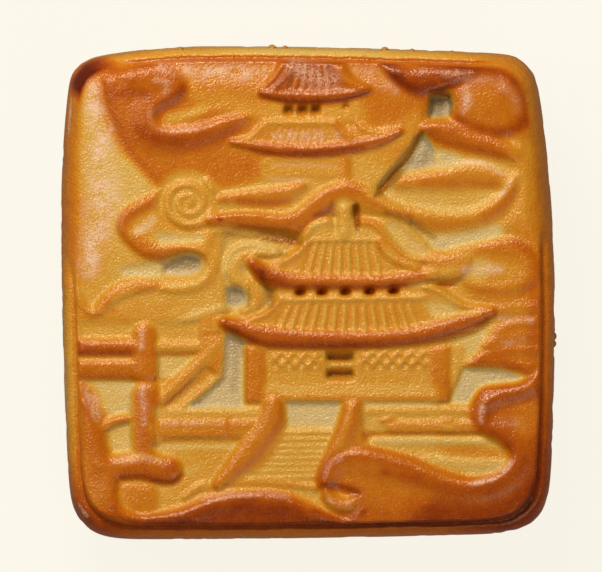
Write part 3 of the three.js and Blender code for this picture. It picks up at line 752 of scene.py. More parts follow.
@dataclass(frozen=True)
class RightLobes:
    """Lobes beside the hall's right ends.

    Attributes:
        streaks: Ridges of the mass under the loop: line, height and browning.
        elements: The looped lobe beside the upper eave and the streaked mass below it.
    """

    streaks: Sequence[tuple[Line, float, float]] = (
        ([(30, -2.9, 0.8, 1), (33, -2.4, 1, 1.4), (38, -2.2, 1, 1.4)], 2.25, 0.54),
        ([(30.8, -6, 0.6, 1.1), (33.2, -5, 0.9, 1.4), (37.4, -4.5, 0.9, 1.5)], 2.3, 0.6),
        ([(28.6, -8.3, 0.6, 1), (31, -7.4, 0.9, 1.4), (34, -6.9, 1, 1.4), (37.6, -6.8, 0.9, 1.4)], 2.35,
            0.63),
        ([(27.4, -10.3, 0.6, 0.9), (30.4, -9.5, 0.8, 1.3), (33.6, -9.1, 0.9, 1.4), (37.6, -9.2, 0.9, 1.4)],
            2.35, 0.66),
        ([(25.8, -11.4, 0.5, 0.6), (29.4, -11.1, 0.7, 1), (33, -11.2, 0.8, 1.2), (35.8, -12, 0.9, 1.2)], 2.3,
            0.7),
    )
    elements: Elements = (
        Plate([(18.6, 9), (23, 9.4), (27.6, 10.2), (31, 11), (30.8, 9), (26, 7.6), (21, 6.8), (18.4, 7.2)],
            1.2, 1.1, 0.16),
        Mound([(22.4, 7), (26, 7.9), (30, 8.9), (33.4, 9.3), (36.4, 7.8), (37.8, 4.8), (37.2, 1.8),
            (34.8, 0.2), (31, -0.4), (27.6, -0.2), (25.2, 0.8), (24.4, 3), (24.8, 5.4)], 1.2, 2.1, 2, 0.7,
            bake=0.6),
        Crest([(23.4, 6.4, 0.9, 1.4), (26.4, 7, 1, 1.8), (29.6, 7.4, 1.3, 2.2), (32.6, 7.6, 1.4, 2.4),
            (35, 6.7, 1.4, 2.3), (36.2, 4.7, 1.3, 2), (36, 2.6, 1.3, 1.8), (34, 1.2, 1.3, 1.4),
            (30.6, 0.7, 1.1, 1.2), (27.4, 0.9, 0.8, 0.9)], 1.5, 2.2, 0.8, 0.8, bake=0.6),
        Plate([(26.4, 5.1), (30, 5.7), (33, 5.2), (34.4, 3.8), (33.4, 2.2), (29.6, 1.6), (26.2, 2.1),
            (25.2, 3.6)], 2, 2.4, 0.45),
        Stain([(25, 5), (28.4, 5.8), (29.6, 4), (28, 2), (25, 2.2)], 0.3, 1.6),
        Tint([(29, 5.4, 0.5), (32, 5.2, 0.6), (34.4, 4.2, 0.5)], 0.56),
        Tint([(29, 2.2, 0.5), (32, 2.4, 0.6), (34.2, 3, 0.5)], 0.56),
        # painted sheen
        PaintedSheen([(25.6, 3.8, 1.4), (28, 4, 1.8), (31, 4, 1.2)], 0.7),
        Tint([(33.6, 8.2, 1), (36, 6.6, 1.1), (37.4, 4, 1.1), (36.8, 1.6, 1), (34.4, 0, 0.8)], 0.78),
        Plate([(30.2, -2.2), (33, -1.6), (38.4, -1.2), (38.6, -8), (37.8, -12.6), (35.4, -13), (33, -12.3),
            (29, -12), (25.3, -11.8), (26.4, -10.6), (28, -9), (28.8, -7), (29.4, -5)], 1.7, 1.2, 0.62),
        Plate([(30, -4.2), (28.9, -6.4), (27.8, -8.6), (26.4, -10.4), (24.6, -11.7), (23.4, -9.6),
            (23.8, -7.6), (26.6, -6.6)], 1.2, 1.2, 0.24),
        *[Crest(line, 1.4, crest - 0.15, 0.9, 0.9, bake=bake) for line, crest, bake in streaks],
        # painted sheen on the streaks
        PaintedSheen([(31, -4.2, 1), (34, -4, 1.3), (36, -4.4, 1)], 0.5),
        PaintedSheen([(31.6, -8, 0.9), (34.6, -7.6, 1.1)], 0.4),
        # painted shade along the mass's lower edge
        Tint([(26, -12.1, 0.4), (30, -12.2, 0.5), (33.4, -12.4, 0.6), (35.6, -13.2, 0.6)], 0.84),
        Stain([(36, 0), (38.4, 0), (38.6, -13), (36.6, -13), (35.6, -8)], 0.72, 2.4),
    )


@dataclass(frozen=True)
class Pits:
    """Two pits beside the moon's right edge, where the crust stayed pale.

    The slot under the upper right cloud and the pit below it.
    """

    elements: Elements = (
        Plate([(19.9, 31.9), (23.1, 32.2), (23.3, 30.4), (22.7, 28.9), (21.2, 28.6), (19.8, 28.6)], -1.2,
            0.5, 0.1, curved=False),
        # painted shade along the slot's upper edge and in it
        Tint([(20, 32.3, 0.6), (21.6, 32.2, 0.8), (23, 31.8, 0.6)], 0.9),
        Shade([(21.4, 32, 1.6), (21.4, 30.8, 1.5)], 1.2),
        Shade([(21.4, 30.4, 1.8), (21.3, 29.2, 1.4)], 0.6),
        Shade([(19.6, 28.4, 0.6), (19.8, 30.4, 0.8), (20.4, 31.9, 1), (22.4, 31.7, 1), (23.2, 30.4, 0.7),
            (23, 28.9, 0.5)], 1.2),
        Plate([(18.3, 25.8), (19.9, 24.2), (20.6, 22.6), (20.7, 20.6), (17.5, 20.2), (15, 19.7),
            (13.4, 17.6), (11.2, 16), (12, 18), (14.4, 20.8), (16.8, 23.6)], -0.3, 0.7, 0.08, curved=False),
        # painted shade in the pit
        Shade([(19.4, 23.6, 1), (19, 21.8, 1.6), (17.6, 20.8, 1.4)], 0.5),
        Plate([(20.6, 23), (22.6, 22.6), (24.6, 21.8), (22.6, 20.9), (20.6, 20.6)], 1.1, 1.2, 0.16),
        # painted shade in the crevice along the moon's edge
        Tint([(18.1, 25.6, 0.4), (16.4, 22.3, 0.5), (14, 19.3, 0.6), (12.2, 17.1, 0.7), (11.2, 16, 0.5)],
            1.1),
        Shade([(18.4, 25.9, 0.7), (16.8, 22.4, 1), (14.5, 19.2, 1.3), (12.5, 16.9, 1.4), (10.9, 15.8, 0.8)],
            1.1),
    )


@dataclass(frozen=True)
class Swirl:
    """Spiral coil on a low disc.

    Attributes:
        centre: Middle of the coil.
        turns: Number of its turns.
        start: Radius where it begins.
        end: Radius where it ends.
        half_width: Half width of the coil's ridge.
        end_angle: Direction in which it ends, in degrees.
    """

    centre: Point = (-19.3, 14.7)
    turns: float = 2.3
    start: float = 0.4
    end: float = 4.3
    half_width: float = 0.95
    end_angle: float = 50.0

    @property
    def elements(self) -> Elements:
        """The disc and the coil."""
        line = []
        for share in np.linspace(0, 1, 61):
            angle = math.radians(self.end_angle - 360 * self.turns * (1 - share))
            radius = self.start + (self.end - self.start) * share
            x = self.centre[0] + 1.04 * radius * math.cos(angle)
            y = self.centre[1] + radius * math.sin(angle)
            line.append((x, y, self.half_width))
        return (
            Plate(arc(self.centre, 5, 0, 345, 24), 1.6, 1.4, 0.42),
            Roll(line, 1.55, 2.45, 1, 0.25, bake=0.4),
            # painted shade under the disc
            Tint([(-23.6, 12.6, 0.6), (-21.6, 10.9, 0.8), (-19, 10.2, 0.8), (-16.4, 10.6, 0.7)], 0.6, 0.8),
            Tint([(-21.6, 16.3, 0.5), (-20.4, 17.2, 0.5)], 0.6, 0.8),
        )


@dataclass(frozen=True)
class WindingCloud:
    """Cloud that winds from the swirl round a pit and out to the left edge.

    The body, the rolled rim of its lobe, the hook under the pit and the pale crest below.
    """

    elements: Elements = (
        # painted sheen on the lobe
        PaintedSheen([(-27.6, 10, 1), (-26, 10.8, 1.2), (-25, 12, 0.9)], 0.8),
        Plate([(-22.5, 17), (-24, 12), (-23, 8), (-17, 7), (-16.6, 4.9), (-17.4, 3.3), (-18.8, 2.5),
            (-21.5, 2.2), (-25, 2.3), (-28, 2.1), (-30.8, 1.6), (-32.3, 0.4), (-33.4, -1), (-34.8, -3),
            (-30, -5), (-24, -5.4), (-16, -4), (-12.6, -2), (-12.4, 2), (-13.4, 5), (-12.5, 7.5), (-11, 9),
            (-13, 11), (-18, 12)], 1.75, 1.4, 0.4),
        Mound([(-24, 17.4), (-26.6, 15.8), (-29, 14.4), (-30.7, 12.9), (-31.3, 11), (-30.7, 9.3), (-29, 7.8),
            (-27.4, 6.3), (-25.8, 5.1), (-23.8, 4.8), (-21.4, 5.5), (-19.4, 6.4), (-17.8, 6.3), (-16.8, 5.4),
            (-15, 7), (-14, 9.6), (-16, 11), (-20, 13), (-22, 16)], 0.9, 2.15, 2.2, 0.7, 0.4, bake=0.44),
        Crest([(-23.6, 16.2, 1.8, 0.9), (-26.4, 14.6, 2, 1.2), (-28.9, 12.9, 2, 1.4), (-29.7, 11, 1.5, 1.5),
            (-28.9, 9.4, 1.6, 1.5), (-27.4, 8, 2, 1.7), (-25.6, 6.9, 2.2, 1.7), (-22.8, 6.9, 1.8, 1.4),
            (-20, 7.4, 1.3, 1.2), (-17.8, 7.2, 0.9, 1), (-16.4, 6.4, 0.4, 0.5)], 1.2, 2.6, 0.75, 0.6,
            bake=0.58),
        Tint([(-30.2, 10.6, 0.8), (-29.6, 12.1, 0.9), (-27.6, 13.1, 0.9), (-25.4, 14, 0.7)], 0.68),
        Tint([(-30, 9.3, 0.8), (-28.6, 8, 1.1), (-27, 6.7, 1.1), (-25.4, 5.9, 1), (-23, 5.8, 0.6)], 0.66),
        # painted sheen inside the lobe and a painted highlight along its upper edge
        Tint([(-28.4, 9.8, 0.8), (-26.4, 10.6, 1.3), (-25, 11.6, 0.8)], 0.3),
        Tint([(-26.4, 16.4, 0.5), (-28.6, 14.9, 0.5), (-30.8, 13.2, 0.4)], 0.3),
        Plate([(-24.2, 9.4), (-21, 9.6), (-17.6, 9.4), (-16.8, 8.7), (-18, 8.2), (-21, 8), (-23.8, 8)], 1.7,
            1.1, 0.2),
        Roll([(-19, 7.2, 0.6), (-17, 6.8, 1), (-15.7, 5.6, 1.2), (-15.4, 4, 1.2), (-16.2, 2.4, 1.2),
            (-18, 1.3, 1.2), (-20.4, 0.7, 1.1), (-23.6, 0.8, 0.8)], 1.3, 2.3, 0.9, 0.7, bake=0.4),
        Tint([(-18.6, 6.3, 0.4), (-17, 6, 0.5), (-16.4, 4.8, 0.5)], 0.62),
        # painted highlight along the hook's outer side
        Tint([(-22.6, 1.3, 0.4), (-19.4, 1.3, 0.5), (-17.3, 2.1, 0.5), (-16.4, 3.6, 0.5), (-16.4, 4.8, 0.4)],
            0.18),
        Crest([(-34, -3.4, 1, 0.9), (-32.4, -1.4, 1.4, 1.2), (-30.4, -0.2, 1.8, 1.1), (-27.6, 0.6, 2, 0.9),
            (-25, 0.9, 1.4, 0.6)], 1.4, 2.4, 0.8, 0.7, bake=0.52),
        # painted highlight on the lobe
        Tint([(-31.4, -1.2, 0.5), (-29.8, -0.2, 0.6), (-27.4, 0.4, 0.4)], 0.3),
        Stain([(-33, -3), (-30, -2), (-24, -1.6), (-17, -1.6), (-13, -1), (-13, -2.6), (-18, -4.4),
            (-24, -5.4), (-32, -5.4)], 0.44, 1.6),
        Roll([(-24, -5.4, 0.7), (-21, -4.9, 0.9), (-18, -3.8, 1), (-15, -2.7, 1), (-12.6, -2, 0.8)], 1.4,
            1.95, 1.2, 0.5, bake=0.26),
        Plate([(-24.2, 4.6), (-22, 5.4), (-19.6, 6.3), (-17.8, 5.9), (-17.2, 4.6), (-18, 3.3), (-20, 2.9),
            (-22.4, 2.9), (-24, 3.4)], -0.3, 1, 0.16),
        # painted shade in the pit
        Shade([(-23, 4, 0.8), (-21, 4.4, 1.4), (-19.2, 4.6, 1.8), (-18.2, 4.6, 1.2)], 0.75),
        Shade([(-22, 5.2, 0.5), (-19.6, 5.8, 0.6), (-17.8, 5, 0.6)], 0.8),
        # painted sheen in it
        PaintedSheen([(-22.6, 3.6, 0.5), (-20.4, 3.5, 0.6), (-18.8, 3.9, 0.5)], 0.6),
        Plate([(-30, 3.9), (-26.6, 4.6), (-23.6, 4.6), (-23.6, 3), (-26, 2.8), (-29.6, 2.9)], 0.95, 1.2,
            0.22),
        # painted highlight along the pale crescent
        Tint([(-29.4, 3.2, 0.5), (-26.4, 3.1, 0.5), (-24, 3, 0.5)], 0.12),
    )


@dataclass(frozen=True)
class LeftBank:
    """Bank between the winding cloud and the left fence, with a leaf-shaped hollow above it.

    The bank and the thin ridge on its left.
    """

    elements: Elements = (
        Plate([(-38.4, -1.6), (-36.4, -2.6), (-35, -3.6), (-32, -4), (-26, -4.8), (-24.4, -7.2),
            (-38.4, -7.4)], 1.75, 1.6, 0.52),
        Tint([(-22, -3, 1), (-18, -2.2, 1.4), (-14.6, -1, 1.4), (-14.2, 1.4, 1.2)], 0.33, 0.8),
        Crest([(-38.2, 4, 0.8, 0.6), (-38, 1.4, 0.9, 0.8), (-37.2, -0.6, 0.9, 0.9), (-36.1, -2.4, 0.9, 0.9),
            (-34.8, -3.6, 0.8, 0.8)], 1.3, 2.15, 1, 0.4, bake=0.56),
        # painted highlight along the thin ridge
        Tint([(-37.7, 2.6, 0.3), (-37.3, 0.4, 0.4), (-36.2, -1.8, 0.4), (-35.2, -3, 0.3)], 0.34),
    )


@dataclass(frozen=True)
class LongCloud:
    """Long cloud under the small pavilion, from the swirl over the hall.

    Its upper bank, the valley and its thick winding body.
    """

    elements: Elements = (
        Plate([(-15, 16.4), (-10, 17.4), (-6, 18.6), (3, 18.8), (5, 17.8), (0, 15), (-3, 13), (-8, 13.2),
            (-15, 13)], 1.7, 1.4, 0.44),
        Crest([(-13.6, 15.6, 0.7, 1.6), (-11, 15.8, 0.9, 2), (-8, 16.1, 1.1, 2.4), (-5, 16.3, 1.2, 2.4),
            (-2.6, 16.8, 1, 2), (-1, 17.4, 0.7, 1.2)], 1.35, 2.55, 0.8, 0.5, bake=0.52),
        # painted shade under the upper bank, then a painted highlight on its top
        Tint([(-11.4, 14.9, 0.7), (-8.6, 14.6, 1.1), (-5.4, 14.5, 1.1), (-3, 14.8, 0.8)], 0.76),
        Tint([(-13.6, 16.4, 0.5), (-10.6, 16.8, 0.6), (-7.4, 17.2, 0.7), (-4, 17.8, 0.6)], 0.26),
        Crest([(-15.6, 12.2, 0.5, 1.8), (-12, 12.5, 0.7, 2.2), (-9, 12.5, 0.9, 2.6), (-6, 12.1, 1, 2.7),
            (-3.6, 12, 1, 2.8), (-1.6, 12.6, 1.2, 3.2), (0.4, 14, 1.4, 3.3), (3, 16, 1.4, 3.4),
            (6, 17, 1.4, 3.5), (8.6, 16.5, 1.5, 3.2), (10.6, 15.2, 1.5, 2.6), (13, 13.8, 1.3, 2),
            (16, 12.4, 1.1, 1.6)], 1.3, 2.9, 0.75, 0.5, bake=0.6),
        # painted highlights along the body's top edge and in the valley
        Tint([(-11, 13.3, 0.4), (-8, 13.2, 0.4), (-5.4, 12.7, 0.45), (-3.2, 12.9, 0.5), (-1.4, 13.8, 0.6),
            (0.6, 15.4, 0.6), (3, 17.1, 0.6), (6, 18, 0.5)], 0.36, 0.8),
        Tint([(-14, 14.2, 0.8), (-12, 14.1, 0.8)], 0.36),
        # painted shade under the body
        Tint([(-11, 10.9, 0.6), (-7, 10.3, 0.9), (-3.6, 9.9, 1), (-1.4, 9.9, 1), (0.4, 11.4, 1),
            (2.6, 13, 1), (4, 13.6, 0.8)], 0.8),
        Tint([(8, 15.2, 0.8), (11, 13.6, 1), (14, 12.6, 0.9), (17, 11.2, 0.8)], 0.46),
        Stain([(9.4, 17.2), (13, 15.8), (17, 14.4), (16, 13.4), (12, 14.4), (9.6, 15.8)], 0.36, 1.4),
    )


@dataclass(frozen=True)
class SmallPavilion:
    """Two-storeyed pavilion on the moon.

    Attributes:
        upper: Upper wall and roof.
        lower: Lower wall and roof.
        elements: Its upper and lower storeys.
    """

    upper: Elements = (
        panel((-6.2, 27.8), (8, 31.5), 2, 0.7, 0.44),
        Plate([(-3.4, 38.6), (4.3, 38.8), (5.4, 36), (7, 34), (9.8, 33), (9.6, 32.2), (5, 31.2), (-4, 31.2),
            (-7.6, 32), (-7.8, 32.8), (-6.2, 34), (-4.8, 35.8)], 2.45, 0.8, 0.8, curved=False),
        # painted sheen on the roof
        PaintedSheen([(-2, 36.4, 2.4), (1, 35, 3.2), (4, 34.4, 2.4)], 0.6),
        Tiles((-3.6, 5, 32.9), (-2, 3.6, 37.6), 6, 0.65),
        Roll([(-1.9, 37.9, 0.6), (-3, 35.4, 0.75), (-4.5, 33.6, 0.7), (-5.6, 32.9, 0.5)], 2.2, 3, 0.8,
            bake=0.76),
        Roll([(-4, 37.4, 0.4), (-5.2, 35.4, 0.45), (-6.4, 34, 0.45), (-7.6, 33.1, 0.4)], 1.9, 2.6, bake=0.6),
        Crest([(4.2, 38, 1.1, 0.6), (5.2, 35.8, 1.2, 0.8), (7, 33.9, 1, 1), (9.8, 33, 0.6, 0.7)], 2.2, 2.95,
            0.9, bake=0.62),
        Crest([(-7.6, 32.4, 0.5, 0.6), (-5, 32.1, 0.9, 1.1), (-1, 31.9, 0.9, 1.3), (3, 31.9, 0.9, 1.2),
            (7, 32.3, 0.8, 1), (9.6, 32.9, 0.4, 0.6)], 1.9, 3.1, 0.55, 0.3, bake=0.72),
        # painted shade under the eave
        Tint([(-7.6, 31.6, 0.5), (-4, 31, 0.8), (0, 30.8, 0.9), (4, 30.9, 0.9), (8, 31.7, 0.7),
            (9.8, 32.4, 0.4)], 0.9),
        # holes and patches darkened with painted shade
        Holes([(-3.1, 29.6), (-0.9, 29.6), (1.3, 29.7)], (1.1, 1.4), 2, 0.2, bake=0.85),
        Holes([(6.1, 30.2)], (0.7, 0.8), 1.2, bake=0.8),
        Shade([(-3.5, 29.6, 1), (1.7, 29.7, 1)], 0.8),
        Shade([(5.9, 30.2, 0.5), (6.3, 30.2, 0.5)], 1),
        Groove([(6, 27.6, 0.4), (7.4, 27.1, 0.4), (8.6, 27.4, 0.4)], 0.3, bake=0.6),
    )
    lower: Elements = (
        panel((-7, 17.5), (7.8, 23), 1.9, 0.9, 0.42),
        Stain(box_outline((-6, 18), (5, 22.4)), 0.46, 1.2),
        # painted highlights on the lower wall
        PaintedSheen([(-5.6, 20.6, 0.7), (-2, 20.8, 0.9), (2, 20.6, 0.9), (4.4, 20.4, 0.6)], 0.3),
        PaintedSheen([(-6.6, 18.6, 0.5), (-3, 18.4, 0.6), (1, 18.2, 0.5)], 0.5),
        beam((6, 17.4), (6.1, 22.4), 1.2, 1.7, 2.35, 0.7, 0.56),
        Roll([(-7, 18.4, 0.35), (-3, 18.9, 0.5), (0, 18.6, 0.5), (4, 18.9, 0.4)], 1.8, 2.1, 1, 0.2),
        Roll([(-6, 21.7, 0.3), (-3.4, 21.5, 0.4), (4.6, 21.3, 0.3)], 1.8, 2.1, 1, 0.2),
        Plate([(-7.2, 27.9), (4.8, 27.9), (5.8, 26.7), (8.2, 26.4), (10.5, 26), (13.4, 26.8), (15.2, 27),
            (15, 25.8), (12.4, 23.8), (8, 22.6), (-8, 22.4), (-10, 23.4), (-12.4, 24), (-12.6, 24.7),
            (-9.6, 25.2)], 2.35, 0.8, 0.54, curved=False),
        # painted sheen on the lower roof
        PaintedSheen([(-5.4, 25.4, 1.2), (0, 25.4, 1.5), (4.8, 25.4, 1.2)], 0.7),
        Tiles((-6.6, 6.2, 24.7), (-4.8, 4.4, 26.9), 11, 0.6),
        Roll([(-6.8, 27.6, 0.35), (-2, 27.6, 0.4), (4.4, 27.6, 0.35)], 2.3, 2.75, 0.8, 0.2, bake=0.34),
        Roll([(-6.8, 27.5, 0.35), (-8, 26.2, 0.4), (-9.2, 25.2, 0.4), (-11, 24.8, 0.35)], 2.2, 2.75,
            bake=0.4),
        Roll([(4.3, 27.6, 0.5), (5.5, 25.9, 0.6), (7, 24.8, 0.6)], 2.2, 2.85, bake=0.56),
        Crest([(-12.4, 24.4, 0.5, 0.5), (-9, 23.9, 0.8, 0.9), (-5, 23.4, 1, 1.3), (0, 23.2, 1, 1.4),
            (5, 23.5, 1, 1.4), (9.4, 24.2, 1.1, 1.2), (12.4, 25, 0.9, 1), (14.9, 26.2, 0.5, 0.7)], 1.9, 3.05,
            0.55, 0.3, bake=0.7),
        # painted shade under the lower eave
        Tint([(-9.4, 23.2, 0.4), (-6, 22.6, 0.7), (0, 22.4, 0.85), (5, 22.8, 0.8), (9, 23.4, 0.5)], 0.9),
        Tint([(9.6, 23.5, 0.5), (12.4, 24.3, 0.6), (14.6, 25.9, 0.5)], 0.66),
        Roll([(8.4, 27, 0.5), (9.6, 26.2, 0.5), (11.6, 26, 0.5), (13.2, 26.4, 0.4)], 2.2, 2.75, bake=0.46),
    )
    elements: Elements = (*upper, *lower)


@dataclass(frozen=True)
class Scroll:
    """Scroll at the left end of the hall's upper eave.

    The shaded hollow round it, the curl and the pit beside it.
    """

    elements: Elements = (
        Plate([(-13.4, 8.8), (-11, 9.8), (-4, 9.8), (-1.2, 8.6), (-2, 6.8), (-5, 5.2), (-8, 4), (-6, 1.4),
            (-5.2, -1), (-6.4, -3.2), (-9.6, -4), (-13, -2.4), (-13.2, 1.4), (-13.8, 5)], 0.75, 1.4, 0.36),
        Roll([(-14.6, 9.6, 0.6), (-11.6, 9.8, 0.8), (-8, 9.4, 0.9), (-5, 8.8, 0.8), (-2.6, 7.8, 0.6)], 0.8,
            1.35, 1, 0.4, bake=0.38),
        Roll([(-5, 6.2, 0.9), (-8, 6.4, 1.3), (-10.6, 5.8, 1.6), (-11.9, 4.2, 1.7), (-11.4, 2.3, 1.7),
            (-9.8, 1, 1.7), (-8.4, -0.6, 1.7), (-8.8, -2.3, 1.3), (-10.4, -3, 0.8)], 0.6, 2.05, 0.7,
            bake=0.34),
        Roll([(-13.3, 3.2, 0.45), (-13, 5.4, 0.5), (-11.7, 7.1, 0.55), (-9.4, 7.8, 0.55), (-7, 7.5, 0.5),
            (-5, 6.9, 0.45)], 1, 2.1, 1, bake=0.2),
        Tint([(-10.4, 5.6, 0.8), (-9, 5.4, 0.8), (-7.4, 5.6, 0.6)], 0.6),
        Plate([(-12.9, 0.6), (-11, 0.8), (-10, -0.6), (-10.6, -1.9), (-12.6, -1.8)], -0.4, 0.9, 0.12),
        Groove([(-7.4, 9.4, 0.8), (-4, 8.9, 1.2), (-1.6, 8.2, 1)], 0.6, bake=0.56),
        Tint([(-9.4, 1.6, 1), (-8.2, -0.4, 1), (-8, -2.2, 0.9)], 0.44),
        # painted shade beside the roof's left end
        Tint([(-8.6, 2.2, 0.8), (-6.6, 1, 0.9), (-5.6, -0.8, 0.8)], 0.62),
        # painted shade in the hollow round the scroll
        Tint([(-2.6, 8.3, 0.9), (-1, 8.6, 0.9)], 0.86),
        Shade([(-15, 9.4, 0.8), (-12, 10, 1.3), (-8, 9.8, 1.6), (-4, 9.2, 1.6), (-1.2, 8.4, 1.2)], 0.6),
        Shade([(-7, 8.8, 0.8), (-4, 8.6, 1.1), (-1.2, 8.2, 0.9)], 1.1),
        Shade([(-8.2, 6.1, 0.6), (-6, 5.9, 0.8), (-3.6, 6.4, 0.6)], 0.6),
        Shade([(-11.9, 0, 1.6), (-11.6, -1, 1.5)], 0.6),
        Shade([(-7.4, 3.6, 0.9), (-7.2, 1.8, 1.1), (-6.2, 0.2, 1.3), (-6, -1.8, 1.1)], 1),
        Shade([(-9.6, 1.2, 0.5), (-9.4, -0.6, 0.6), (-9.6, -2.2, 0.6)], 0.6),
    )


